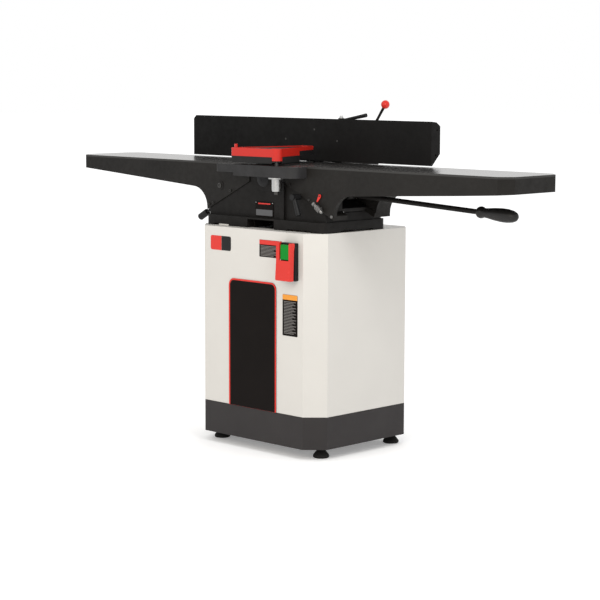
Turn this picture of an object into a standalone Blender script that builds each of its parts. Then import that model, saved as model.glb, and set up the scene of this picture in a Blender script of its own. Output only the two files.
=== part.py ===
"""An eight-inch closed-stand jointer, modelled as an assembly of separate parts.

Metres, +Z up, +X towards the infeed end and +Y away from the operator. Dimensions are given
from the middle of the two tables' length, the tables' front edge and the floor. The empty
called machine then moves all of it in Y, so that the world origin lies on the floor under
the middle of the machine.
"""

import math

import bmesh
import bpy
from mathutils import Matrix, Vector

# Gaps between pieces
GAP = 0.0003            # pieces that touch
RUN = 0.0005            # sliding ways and turning shafts
SHEET = 0.002           # cabinet sheet thickness

# Tables
TABLE_REACH = 0.8445    # from the middle to either table end
TABLE_WIDTH = 0.2286
TABLE_HEIGHT = 0.810
TABLE_PLATE = 0.014     # thickness of the machined top
TABLE_SKIRT = 0.010     # side walls and ribs under the top
INFEED_END = 0.0446     # height of the infeed table's end
OUTFEED_END = 0.038
NECK_Z = 0.736          # underside where a table meets its rails
END_CHAMFER = 0.031
RAIL_WIDTH = 0.055      # lower rails, which ride on the bed
RAIL_ARC = 0.060        # hollow curve from the underside to the rail's end
RAIL_WALL = 0.012       # the front rail's wall and floor at its open end
RAIL_FLOOR = 0.012
INFEED_RAIL_END = 0.252
OUTFEED_RAIL_END = -0.255
LIP_UNDER = 0.788       # underside of the lips beside the cutterhead

# Bed
BED_LEFT = -0.250
BED_RIGHT = 0.2236
BED_BOTTOM = 0.6299
FLANGE_TOP = 0.659
FLANGE_FRONT = -0.012
FLANGE_REAR = 0.245
BED_FRONT = 0.003
BED_REAR = 0.2256
TOWER_LEFT = -0.0765
TOWER_RIGHT = 0.065
TOWER_TOP = 0.7735
WALL = 0.010            # casting walls
RAMP_TOP = 0.760        # height of both ways at the tower
RAMP_ANGLE = math.radians(26.5)
TONGUE_FRONT = 0.0585   # dovetail tongue, across its top
TONGUE_REAR = 0.1665
TONGUE_HEIGHT = 0.012
TONGUE_UNDERCUT = 0.0055

# Cutterhead
HEAD_X = -0.024
HEAD_Z = 0.770
HEAD_RADIUS = 0.037
CUT_RADIUS = 0.0405
HEAD_FRONT = 0.0127
HEAD_REAR = 0.2159
SHAFT_RADIUS = 0.0125
HOUSING_RADIUS = 0.034
BEARING_RADIUS = 0.024
LIP_CLEARANCE = 0.003   # between the cutting circle and the tables' lips
LIP_REACH = 0.024       # from the cutterhead's axis to each lip
KNIFE_COUNT = 3

# Drive
MOTOR_Z = 0.285
MOTOR_RADIUS = 0.078
MOTOR_FRONT = 0.035
MOTOR_REAR = 0.205
HEAD_PULLEY = 0.027
PULLEY_RATIO = 1.6
PULLEY_Y = 0.248        # middle of both pulleys
PULLEY_WIDTH = 0.020
BELT_WIDTH = 0.009
BELT_THICKNESS = 0.006

# Cabinet
CABINET_LEFT = -0.2667
CABINET_RIGHT = 0.2277
CABINET_FRONT = -0.044
CABINET_REAR = 0.3475
CABINET_TOP = 0.6296
FRONT_CORNER = 0.048
REAR_CORNER = 0.024
BASE_TOP = 0.121
BASE_BOTTOM = 0.030
BASE_WALL = 0.003
FOOT_INSET = 0.045
FOOT_RADIUS = 0.023
PANEL_LEFT = -0.1155
PANEL_RIGHT = 0.0765
PANEL_TOP = 0.486
PORT_RADIUS = 0.050
PORT_Y = 0.112
PORT_Z = 0.475

# Ledge and cutter guard
LEDGE_LEFT = -0.160
LEDGE_RIGHT = 0.150
LEDGE_FRONT = -0.055
LEDGE_BOTTOM = 0.778
LEDGE_TIP = -0.087      # the thin tip is left of here
LEDGE_TIP_BOTTOM = 0.787
POST_X = 0.062
POST_Y = -0.030
POST_RADIUS = 0.005
BOSS_RADIUS = 0.016
GUARD_TOP = 0.8565
GUARD_SIDE = 0.023      # height of the cover's sides
SKIRT_DROP = 0.018      # how far the skirt hangs below the cover
GUARD_LIFT = 0.0122     # how much higher the cover's edge is over the tables
SKIRT_LIFT = 0.0165
LOW_REACH = 0.132       # the low skirt ends this far from the post

# Fence
FENCE_LEFT = -0.5588
FENCE_RIGHT = 0.4062
FENCE_FACE = 0.2225
FENCE_BOTTOM = 0.813
FENCE_HEIGHT = 0.121
FENCE_DEPTH = 0.0365
FENCE_PLATE = 0.012
HINGE_BACK = 0.010      # the hinge axis, behind the face
HINGE_UP = 0.020        # and above the fence's lower edge
HINGE_PIN = 0.004
ARM_WIDTH = 0.015
ARM_SPACING = 0.062     # either side of the carriage's middle
CARRIAGE_X = -0.052
CARRIAGE_HALF = 0.080
CARRIAGE_FRONT = 0.285
CARRIAGE_REAR = 0.449
CARRIAGE_PLATE = 0.014
SLIDE_TOP = 0.8117      # top of the fixed slideway
SLIDE_PLATE = 0.0092
FENCE_TRAVEL = 0.180
KEY_LENGTH = 0.020      # the key under the carriage, which runs in the slideway
KEY_INSET = 0.0105
STUD_Y = 0.350          # the two clamp levers, behind the fence
LOCK_X = 0.030
LOCK_Z = 0.845
BALL_X = 0.1212
BALL_Z = 0.9746
BALL_RADIUS = 0.0125

# Elevation lever
LEVER_X = 0.215
LEVER_Y = 0.100
LEVER_Z = 0.733
LEVER_SLOPE = math.radians(-2.9)
LEVER_RADIUS = 0.007
LEVER_TIP = 0.587       # from the pivot to the grip's end
GRIP_LENGTH = 0.128

# Switch
SWITCH_LEFT = 0.107
SWITCH_RIGHT = 0.163
SWITCH_BOTTOM = 0.4985
SWITCH_TOP = 0.603
SWITCH_BOX = 0.0155
SWITCH_REACH = 0.037    # how far the paddle stands out from the cabinet

ROUND = 28              # sides of a middling round piece

HINGE_Y = FENCE_FACE + HINGE_BACK
HINGE_Z = FENCE_BOTTOM + HINGE_UP
REACH_FRONT = CABINET_FRONT - SWITCH_REACH
DEPTH_SHIFT = -(REACH_FRONT + CARRIAGE_REAR) / 2
PLATE_BOTTOM = SLIDE_TOP + 0.0008
MOTOR_PULLEY = HEAD_PULLEY * PULLEY_RATIO
POCKET_END = TABLE_REACH - END_CHAMFER - 0.0005


# ---------------------------------------------------------------- scene and materials

def clear_scene():
    for obj in list(bpy.data.objects):
        bpy.data.objects.remove(obj, do_unlink=True)


def make_collection(name, hidden=False):
    collection = bpy.data.collections.new(name)
    collection.hide_render = hidden
    bpy.context.scene.collection.children.link(collection)
    return collection


FINISHES = {
    "white_paint": ((0.80, 0.78, 0.74), 0.45, 0.0),
    "dark_paint": ((0.055, 0.053, 0.052), 0.55, 0.0),
    "black_casting": ((0.022, 0.020, 0.019), 0.60, 0.0),
    "ground_iron": ((0.10, 0.10, 0.10), 0.30, 0.9),
    "bright_steel": ((0.62, 0.62, 0.62), 0.28, 1.0),
    "black_plastic": ((0.015, 0.015, 0.016), 0.45, 0.0),
    "red_plastic": ((0.72, 0.045, 0.03), 0.35, 0.0),
    "green_plastic": ((0.0, 0.33, 0.035), 0.40, 0.0),
    "rubber": ((0.02, 0.02, 0.02), 0.80, 0.0),
    "motor_paint": ((0.04, 0.045, 0.05), 0.50, 0.0),
    "galvanised": ((0.45, 0.46, 0.47), 0.40, 0.9),
}


def finish(name):
    material = bpy.data.materials.get(name)
    if material is None:
        colour, roughness, metallic = FINISHES[name]
        material = bpy.data.materials.new(name)
        material.use_nodes = True
        shader = material.node_tree.nodes["Principled BSDF"]
        shader.inputs["Base Color"].default_value = (*colour, 1.0)
        shader.inputs["Roughness"].default_value = roughness
        shader.inputs["Metallic"].default_value = metallic
    return material


clear_scene()
PARTS = make_collection("jointer")
CUTTERS = make_collection("cutters", hidden=True)


def make_empty(name, place, parent=None):
    empty = bpy.data.objects.new(name, None)
    empty.location = place
    empty.empty_display_size = 0.05
    PARTS.objects.link(empty)
    if parent is not None:
        attach(empty, parent)
    return empty


def attach(obj, parent):
    """Parents obj while its own coordinates stay those of the whole machine."""
    obj.parent = parent
    if parent is not MACHINE:
        obj.matrix_parent_inverse = Matrix.Translation(-parent.location)


MACHINE = None
MACHINE = make_empty("machine", (0.0, DEPTH_SHIFT, 0.0))
INFEED = make_empty("infeed_table_axis", (RAIL_WIDTH, 0.0, RAMP_TOP), MACHINE)
OUTFEED = make_empty("outfeed_table_axis", (-RAIL_WIDTH, 0.0, RAMP_TOP), MACHINE)
LEVER = make_empty("elevation_lever_axis", (LEVER_X, LEVER_Y, LEVER_Z), INFEED)
HEAD = make_empty("cutterhead_axis", (HEAD_X, 0.0, HEAD_Z), MACHINE)
ROTOR = make_empty("motor_axis", (HEAD_X, 0.0, MOTOR_Z), MACHINE)
CARRIAGE = make_empty("fence_carriage_axis", (CARRIAGE_X, CARRIAGE_REAR, SLIDE_TOP), MACHINE)
TILT = make_empty("fence_tilt_axis", (CARRIAGE_X, HINGE_Y, HINGE_Z), CARRIAGE)
GUARD = make_empty("guard_axis", (POST_X, POST_Y, GUARD_TOP), INFEED)


# ---------------------------------------------------------------- modelling helpers

def place_part(obj, colour, body=None, smooth=None):
    """Puts a mesh object in the assembly, with its finish and the body that it moves with."""
    for collection in list(obj.users_collection):
        collection.objects.unlink(obj)
    PARTS.objects.link(obj)
    attach(obj, body or MACHINE)
    obj.data.materials.clear()
    obj.data.materials.append(finish(colour))
    if smooth is not None:
        obj.data.shade_smooth()
        obj.data.set_sharp_from_angle(angle=math.radians(smooth))
    return obj


def as_cutter(obj):
    """Makes obj a tool that cuts or joins other parts, and is no part itself."""
    for collection in list(obj.users_collection):
        collection.objects.unlink(obj)
    CUTTERS.objects.link(obj)
    attach(obj, MACHINE)
    obj.hide_render = True
    obj.display_type = "WIRE"
    return obj


def boolean(target, tool, operation="DIFFERENCE"):
    modifier = target.modifiers.new(operation.lower(), "BOOLEAN")
    modifier.operation = operation
    modifier.solver = "EXACT"
    modifier.object = as_cutter(tool)
    return target


def cut(target, *tools):
    for tool in tools:
        boolean(target, tool)
    return target


def join(target, *tools):
    for tool in tools:
        boolean(target, tool, "UNION")
    return target


def new_object(name, mesh):
    obj = bpy.data.objects.new(name, mesh)
    bpy.context.scene.collection.objects.link(obj)
    return obj


def box(name, low, high):
    """A box between two corners, with its origin at its middle."""
    low = Vector(low)
    high = Vector(high)
    bm = bmesh.new()
    bmesh.ops.create_cube(bm, size=1.0)
    bmesh.ops.scale(bm, vec=high - low, verts=bm.verts)
    mesh = bpy.data.meshes.new(name)
    bm.to_mesh(mesh)
    bm.free()
    obj = new_object(name, mesh)
    obj.location = (low + high) / 2
    return obj


def rod(name, start, end, radius, end_radius=None, sides=ROUND):
    """A round bar or cone from start to end."""
    start = Vector(start)
    end = Vector(end)
    bm = bmesh.new()
    last = radius if end_radius is None else end_radius
    bmesh.ops.create_cone(bm, cap_ends=True, segments=sides, radius1=radius, radius2=last,
                          depth=(end - start).length)
    mesh = bpy.data.meshes.new(name)
    bm.to_mesh(mesh)
    bm.free()
    obj = new_object(name, mesh)
    obj.location = (start + end) / 2
    obj.rotation_euler = (end - start).to_track_quat("Z", "Y").to_euler()
    return obj


def turned(name, profile, base, direction, sides=ROUND, closed=False):
    """A turned shape. The profile holds (radius, height) from the top down, above base."""
    mesh = bpy.data.meshes.new(name)
    points = [(radius, 0.0, height) for radius, height in profile]
    edges = [(i, i + 1) for i in range(len(points) - 1)]
    if closed:
        edges.append((len(points) - 1, 0))
    mesh.from_pydata(points, edges, [])
    obj = new_object(name, mesh)
    screw = obj.modifiers.new("turn", "SCREW")
    screw.axis = "Z"
    screw.steps = sides
    screw.render_steps = sides
    screw.use_merge_vertices = True
    screw.merge_threshold = 0.00001
    screw.use_smooth_shade = True
    obj.location = base
    obj.rotation_euler = Vector(direction).to_track_quat("Z", "Y").to_euler()
    return obj


# How an outline's two coordinates and its thickness lie in the machine.
FLAT = Matrix(((1, 0, 0), (0, 1, 0), (0, 0, 1)))        # x, y, thickness along z
UPRIGHT = Matrix(((1, 0, 0), (0, 0, -1), (0, 1, 0)))    # x, z, thickness along -y
CROSS = Matrix(((0, 0, 1), (1, 0, 0), (0, 1, 0)))       # y, z, thickness along x


def prism(name, outline, low, high, facing=FLAT):
    """A flat outline given a thickness, from low to high along the axis across it."""
    curve = bpy.data.curves.new(name, "CURVE")
    curve.dimensions = "2D"
    curve.fill_mode = "BOTH"
    curve.extrude = (high - low) / 2
    spline = curve.splines.new("POLY")
    spline.points.add(len(outline) - 1)
    for point, (u, v) in zip(spline.points, outline):
        point.co = (u, v, 0.0, 1.0)
    spline.use_cyclic_u = True
    drawn = new_object(name + "_outline", curve)
    graph = bpy.context.evaluated_depsgraph_get()
    mesh = bpy.data.meshes.new_from_object(drawn.evaluated_get(graph))
    mesh.name = name
    bpy.data.objects.remove(drawn, do_unlink=True)
    bm = bmesh.new()
    bm.from_mesh(mesh)
    bmesh.ops.remove_doubles(bm, verts=bm.verts, dist=0.000001)
    bmesh.ops.translate(bm, verts=bm.verts, vec=(0.0, 0.0, (low + high) / 2))
    bmesh.ops.transform(bm, matrix=facing.to_4x4(), verts=bm.verts)
    bmesh.ops.recalc_face_normals(bm, faces=bm.faces)
    bm.to_mesh(mesh)
    bm.free()
    return new_object(name, mesh)


def upright(name, outline, front, rear):
    """An outline in X and Z, from front to rear."""
    return prism(name, outline, -rear, -front, UPRIGHT)


def arc(centre, radius, start, end, steps):
    """Points of an arc, in degrees, both ends included."""
    points = []
    for i in range(steps + 1):
        angle = math.radians(start + (end - start) * i / steps)
        points.append((centre[0] + radius * math.cos(angle), centre[1] + radius * math.sin(angle)))
    return points


def inset(corners, amount):
    """The corners of a convex, anticlockwise outline, each side moved in by amount."""
    moved = []
    count = len(corners)
    for i in range(count):
        before = Vector(corners[i - 1])
        here = Vector(corners[i])
        after = Vector(corners[(i + 1) % count])
        one = (here - before).normalized()
        two = (after - here).normalized()
        normal_one = Vector((-one.y, one.x))
        normal_two = Vector((-two.y, two.x))
        step = (normal_one + normal_two) / (1 + normal_one.dot(normal_two))
        moved.append(tuple(here + step * amount))
    return moved


def rounded(corners, radii, steps=4, amount=0.0):
    """A convex, anticlockwise outline with its corners rounded, moved in by amount."""
    corners = inset(corners, amount)
    count = len(corners)
    points = []
    for i in range(count):
        radius = max(radii[i] - amount, 0.0)
        here = Vector(corners[i])
        if radius < 0.0005:
            points.append(tuple(here))
            continue
        back = (Vector(corners[i - 1]) - here).normalized()
        onward = (Vector(corners[(i + 1) % count]) - here).normalized()
        half = back.angle(onward) / 2
        reach = radius / math.tan(half)
        centre = here + (back + onward).normalized() * (radius / math.sin(half))
        start = here + back * reach - centre
        turn = math.pi - 2 * half
        for k in range(steps + 1):
            angle = turn * k / steps
            spun = Vector((start.x * math.cos(angle) - start.y * math.sin(angle),
                           start.x * math.sin(angle) + start.y * math.cos(angle)))
            points.append(tuple(centre + spun))
    return points


def rectangle(left, right, low, high):
    return [(left, low), (right, low), (right, high), (left, high)]


def along_way(name, outline, side, top_x, start, end):
    """An outline across a way, as (y, height above the way), carried down the slope."""
    lean = math.sin(RAMP_ANGLE)
    run = math.cos(RAMP_ANGLE)
    obj = prism(name, outline, start * side if side > 0 else -end, end if side > 0 else -start)
    turn = Matrix(((0, side * lean, run), (1, 0, 0), (0, run, -side * lean)))
    obj.data.transform(turn.to_4x4())
    obj.location = (top_x, 0.0, RAMP_TOP)
    return obj


def way_height(distance):
    """Height of a way at a distance from its top, along X."""
    return RAMP_TOP - distance * math.tan(RAMP_ANGLE)


# ---------------------------------------------------------------- cabinet

def cabinet_outline(amount=0.0):
    left = CABINET_LEFT
    right = CABINET_RIGHT
    front = CABINET_FRONT
    rear = CABINET_REAR
    corners = [
        (left + FRONT_CORNER, front),
        (right - FRONT_CORNER, front),
        (right, front + FRONT_CORNER),
        (right, rear - REAR_CORNER),
        (right - REAR_CORNER, rear),
        (left + REAR_CORNER, rear),
        (left, rear - REAR_CORNER),
        (left, front + FRONT_CORNER),
    ]
    return inset(corners, amount)


WINDOW_LEFT = -0.195
WINDOW_RIGHT = 0.155
WINDOW_LOW = 0.175
WINDOW_HIGH = 0.575
CHIP_LEFT = -0.090
CHIP_RIGHT = 0.040
CHIP_FRONT = 0.015
CHIP_REAR = 0.210
GLAND_Y = 0.285
GLAND_Z = 0.200


def make_cabinet_shell():
    bottom = BASE_TOP + GAP
    shell = prism("cabinet_shell", cabinet_outline(), bottom, CABINET_TOP)
    hollow = prism("cabinet_hollow", cabinet_outline(SHEET), bottom - 0.01, CABINET_TOP - SHEET)
    window = box("window", (WINDOW_LEFT, CABINET_REAR - 0.01, WINDOW_LOW),
                 (WINDOW_RIGHT, CABINET_REAR + 0.01, WINDOW_HIGH))
    chips = box("chip_hole", (CHIP_LEFT, CHIP_FRONT, CABINET_TOP - 0.01),
                (CHIP_RIGHT, CHIP_REAR, CABINET_TOP + 0.01))
    belt = box("belt_hole", (HEAD_X - 0.060, PULLEY_Y - 0.018, CABINET_TOP - 0.01),
               (HEAD_X + 0.060, PULLEY_Y + 0.018, CABINET_TOP + 0.01))
    port = rod("port_hole", (CABINET_LEFT - 0.01, PORT_Y, PORT_Z),
               (CABINET_LEFT + 0.01, PORT_Y, PORT_Z), PORT_RADIUS + 0.001, sides=32)
    gland = rod("gland_hole", (CABINET_LEFT - 0.01, GLAND_Y, GLAND_Z),
                (CABINET_LEFT + 0.01, GLAND_Y, GLAND_Z), 0.0085, sides=16)
    cut(shell, hollow, window, chips, belt, port, gland)
    place_part(shell, "white_paint")


def foot_places():
    front = CABINET_FRONT + FRONT_CORNER + FOOT_INSET / 2
    rear = CABINET_REAR - FOOT_INSET / 1.5
    left = CABINET_LEFT + FOOT_INSET
    right = CABINET_RIGHT - FOOT_INSET
    return {
        "foot_front_left": (left, front),
        "foot_front_right": (right, front),
        "foot_rear_left": (left, rear),
        "foot_rear_right": (right, rear),
    }


STUD_RADIUS = 0.005


def make_cabinet_base():
    base = prism("cabinet_base", cabinet_outline(), BASE_BOTTOM, BASE_TOP)
    hollow = prism("base_hollow", cabinet_outline(BASE_WALL), BASE_BOTTOM + BASE_WALL, BASE_TOP + 0.01)
    cut(base, hollow)
    for name, (x, y) in foot_places().items():
        hole = rod(name + "_hole", (x, y, BASE_BOTTOM - 0.01), (x, y, BASE_BOTTOM + 0.01),
                   STUD_RADIUS + GAP, sides=12)
        cut(base, hole)
    place_part(base, "dark_paint")


def make_feet():
    floor_top = BASE_BOTTOM + BASE_WALL
    profile = [
        (0.0, floor_top + 0.022),
        (STUD_RADIUS, floor_top + 0.022),
        (STUD_RADIUS, floor_top + 0.009),
        (0.0095, floor_top + 0.009),
        (0.0095, floor_top + GAP),
        (STUD_RADIUS, floor_top + GAP),
        (STUD_RADIUS, BASE_BOTTOM - GAP),
        (0.0105, BASE_BOTTOM - GAP),
        (0.0105, 0.0225),
        (0.0135, 0.0190),
        (0.0180, 0.0135),
        (FOOT_RADIUS - 0.001, 0.0085),
        (FOOT_RADIUS, 0.0055),
        (FOOT_RADIUS, 0.0025),
        (FOOT_RADIUS - 0.002, 0.0),
        (0.0, 0.0),
    ]
    for name, (x, y) in foot_places().items():
        foot = turned(name, profile, (x, y, 0.0), (0, 0, 1), sides=24)
        place_part(foot, "rubber")


def make_rear_panel():
    front = CABINET_REAR + GAP
    panel = box("rear_access_panel", (WINDOW_LEFT - 0.012, front, WINDOW_LOW - 0.012),
                (WINDOW_RIGHT + 0.012, front + 0.0015, WINDOW_HIGH + 0.012))
    middle = (WINDOW_LEFT + WINDOW_RIGHT) / 2
    for row in range(6):
        height = 0.245 + 0.018 * row
        slot = box(f"louvre_{row}", (middle - 0.055, front - 0.01, height),
                   (middle + 0.055, front + 0.01, height + 0.005))
        cut(panel, slot)
    place_part(panel, "white_paint")


def make_front_panel():
    rear = CABINET_FRONT - GAP
    corners = rectangle(PANEL_LEFT, PANEL_RIGHT, BASE_TOP + GAP, PANEL_TOP)
    outline = rounded(corners, (0.0, 0.0, 0.020, 0.020), steps=6)
    place_part(upright("front_trim_panel", outline, rear - 0.0012, rear), "black_plastic")


def make_chute():
    """Sheet duct from the bed's throat to the dust port in the left side."""
    left = CABINET_LEFT + SHEET + 0.0025
    top = CABINET_TOP - SHEET - GAP
    wall = 0.0015
    outer = [(CHIP_LEFT - 0.005, top), (left, 0.545), (left, 0.405),
             (CHIP_RIGHT + 0.005, 0.500), (CHIP_RIGHT + 0.005, top)]
    outer.insert(1, (CHIP_LEFT - 0.005, 0.545))
    inner = [(CHIP_LEFT - 0.005 + wall, top + 0.01), (CHIP_LEFT - 0.005 + wall, 0.545 - wall),
             (left + wall, 0.545 - wall), (left + wall, 0.405 + 1.6 * wall),
             (CHIP_RIGHT + 0.005 - wall, 0.500 + 0.6 * wall), (CHIP_RIGHT + 0.005 - wall, top + 0.01)]
    chute = upright("chip_chute", outer, CHIP_FRONT - 0.005, CHIP_REAR + 0.005)
    hollow = upright("chute_hollow", inner, CHIP_FRONT - 0.005 + wall, CHIP_REAR + 0.005 - wall)
    hole = rod("chute_hole", (left - 0.01, PORT_Y, PORT_Z), (left + 0.01, PORT_Y, PORT_Z),
               PORT_RADIUS - 0.002, sides=32)
    cut(chute, hollow, hole)
    place_part(chute, "galvanised")


def make_dust_port():
    """A round collar with a flange, for a four-inch hose."""
    outer = PORT_RADIUS + 0.0007
    inner = PORT_RADIUS - 0.0015
    flange = PORT_RADIUS + 0.014
    profile = [(outer, 0.048), (outer, 0.0025), (flange, 0.0025), (flange, GAP),
               (outer, GAP), (outer, -SHEET - 0.0015), (inner, -SHEET - 0.0015), (inner, 0.048)]
    port = turned("dust_port", profile, (CABINET_LEFT, PORT_Y, PORT_Z), (-1, 0, 0), sides=40, closed=True)
    place_part(port, "black_plastic", smooth=40)


def make_cable_gland():
    profile = [(0.0075, 0.022), (0.0095, 0.018), (0.0125, 0.016), (0.0125, GAP),
               (0.0080, GAP), (0.0080, -0.010), (0.0045, -0.010), (0.0045, 0.022)]
    gland = turned("cable_gland", profile, (CABINET_LEFT, GLAND_Y, GLAND_Z), (-1, 0, 0), sides=16,
                   closed=True)
    place_part(gland, "black_plastic", smooth=40)


# ---------------------------------------------------------------- motor and drive

def make_motor():
    z = MOTOR_Z
    length = MOTOR_REAR - MOTOR_FRONT
    profile = [(0.0, length), (0.030, length), (0.034, length - 0.006), (MOTOR_RADIUS - 0.012,
               length - 0.010),
               (MOTOR_RADIUS, length - 0.022), (MOTOR_RADIUS, 0.050), (MOTOR_RADIUS + 0.003, 0.049),
               (MOTOR_RADIUS + 0.003, 0.010), (MOTOR_RADIUS - 0.008, 0.0), (0.0, 0.0)]
    motor = turned("motor_housing", profile, (HEAD_X, MOTOR_FRONT, z), (0, 1, 0), sides=36)
    foot = box("motor_foot", (HEAD_X - 0.055, 0.070, z - MOTOR_RADIUS - 0.010),
               (HEAD_X + 0.055, 0.170, z - MOTOR_RADIUS + 0.020))
    join(motor, foot)
    bore = rod("motor_bore", (HEAD_X, MOTOR_REAR - 0.040, z), (HEAD_X, MOTOR_REAR + 0.010, z),
               0.008 + RUN, sides=16)
    cut(motor, bore)
    place_part(motor, "motor_paint", smooth=35)

    side = HEAD_X + MOTOR_RADIUS - 0.004
    terminal = box("motor_terminal_box", (side + 0.006, 0.090, z - 0.030), (side + 0.042, 0.160, z + 0.045))
    terminal_bevel = terminal.modifiers.new("edges", "BEVEL")
    terminal_bevel.width = 0.003
    terminal_bevel.segments = 1
    cut(terminal, rod("terminal_seat", (HEAD_X, 0.05, z), (HEAD_X, 0.20, z),
                      MOTOR_RADIUS + GAP, sides=36))
    place_part(terminal, "motor_paint")


def make_motor_bracket():
    """A folded bridge that stands on the cabinet's floor and carries the motor."""
    top = MOTOR_Z - MOTOR_RADIUS - 0.010 - GAP
    floor = BASE_BOTTOM + BASE_WALL + GAP
    left = HEAD_X - 0.085
    right = HEAD_X + 0.085
    thick = 0.006
    outline = [(left - 0.030, floor), (left + thick, floor), (left + thick, top - thick),
               (right - thick, top - thick), (right - thick, floor), (right + 0.030, floor),
               (right + 0.030, floor + thick), (right, floor + thick), (right, top),
               (left, top), (left, floor + thick), (left - 0.030, floor + thick)]
    place_part(upright("motor_bracket", outline, 0.055, 0.185), "dark_paint")


def pulley_profile(radius, hub, width, shaft_end):
    """A V-belt pulley, its groove in the middle, with a solid shaft that starts at shaft_end."""
    half = width / 2
    floor = radius - 0.0005 - BELT_THICKNESS - RUN
    groove = BELT_WIDTH / 2 + RUN
    shaft = [(0.0, half), (hub, half), (radius, half), (radius, groove + 0.001), (floor, groove),
             (floor, -groove), (radius, -groove - 0.001), (radius, -half), (hub, -half),
             (hub, shaft_end), (0.0, shaft_end)]
    return shaft


def make_motor_pulley():
    profile = pulley_profile(MOTOR_PULLEY, 0.008, PULLEY_WIDTH, MOTOR_REAR - 0.035 - PULLEY_Y)
    pulley = turned("motor_pulley", profile, (HEAD_X, PULLEY_Y, MOTOR_Z), (0, 1, 0), sides=40)
    place_part(pulley, "galvanised", ROTOR, smooth=35)


def make_head_pulley():
    half = PULLEY_WIDTH / 2
    bore = SHAFT_RADIUS - 0.003 + GAP
    floor = HEAD_PULLEY - 0.0005 - BELT_THICKNESS - RUN
    groove = BELT_WIDTH / 2 + RUN
    profile = [(HEAD_PULLEY, half), (HEAD_PULLEY, groove + 0.001), (floor, groove), (floor, -groove),
               (HEAD_PULLEY, -groove - 0.001), (HEAD_PULLEY, -half), (bore, -half), (bore, half)]
    pulley = turned("cutterhead_pulley", profile, (HEAD_X, PULLEY_Y, HEAD_Z), (0, 1, 0), sides=36,
                    closed=True)
    place_part(pulley, "galvanised", HEAD, smooth=35)


def belt_outline(trim):
    """The line round both pulleys, moved in by trim."""
    top = HEAD_PULLEY - 0.0005 - trim
    bottom = MOTOR_PULLEY - 0.0005 - trim
    contact = math.degrees(math.asin((bottom - top) / (HEAD_Z - MOTOR_Z)))
    points = arc((HEAD_X, HEAD_Z), top, contact, 180 - contact, 16)
    points += arc((HEAD_X, MOTOR_Z), bottom, 180 - contact, 360 + contact, 20)
    return points


def make_belt():
    front = PULLEY_Y - BELT_WIDTH / 2
    rear = PULLEY_Y + BELT_WIDTH / 2
    belt = upright("drive_belt", belt_outline(0.0), front, rear)
    cut(belt, upright("belt_inside", belt_outline(BELT_THICKNESS), front - 0.01, rear + 0.01))
    place_part(belt, "rubber")


def make_belt_guard():
    """A folded cover behind the bed, open towards it and downwards."""
    top = SLIDE_TOP - SLIDE_PLATE - 0.001
    bottom = CABINET_TOP + 0.0007
    left = CARRIAGE_X - 0.076
    right = CARRIAGE_X + 0.076
    front = TABLE_WIDTH + 0.0015
    rear = PULLEY_Y + 0.024
    guard = box("belt_guard", (left, front, bottom), (right, rear, top))
    inside = box("belt_guard_inside", (left + SHEET, front - 0.01, bottom - 0.01),
                 (right - SHEET, rear - SHEET, top - SHEET))
    flange = box("guard_flange_gap", (left - 0.01, front - 0.01, bottom - 0.01),
                 (right + 0.01, FLANGE_REAR + 0.001, FLANGE_TOP + 0.001))
    cut(guard, inside, flange)
    place_part(guard, "black_casting")


# ---------------------------------------------------------------- bed

def bed_outline():
    left = BED_LEFT + 0.004
    right = BED_RIGHT - 0.004
    return [
        (left, BED_BOTTOM + 0.010),
        (right, BED_BOTTOM + 0.010),
        (right, way_height(right - TOWER_RIGHT)),
        (TOWER_RIGHT, RAMP_TOP),
        (TOWER_RIGHT, TOWER_TOP),
        (TOWER_LEFT, TOWER_TOP),
        (TOWER_LEFT, RAMP_TOP),
        (left, way_height(TOWER_LEFT - left)),
    ]


def tongue_outline(clearance=0.0, gib=False):
    """The dovetail's section. With gib set, the front side makes room for the gib strip."""
    low = -0.002 if clearance == 0.0 else -0.010
    high = TONGUE_HEIGHT + clearance
    lean = TONGUE_UNDERCUT / TONGUE_HEIGHT
    front = TONGUE_FRONT - clearance
    rear = TONGUE_REAR + clearance
    drop = (high - low) * lean
    if gib:
        return [(RAIL_WIDTH, low), (rear - drop, low), (rear, high), (RAIL_WIDTH, high)]
    return [(front + drop, low), (rear - drop, low), (rear, high), (front, high)]


THROAT_LEFT = HEAD_X - 0.046
THROAT_RIGHT = HEAD_X + 0.046
SEAT_Z = 0.735          # where the bearing housings sit


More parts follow.
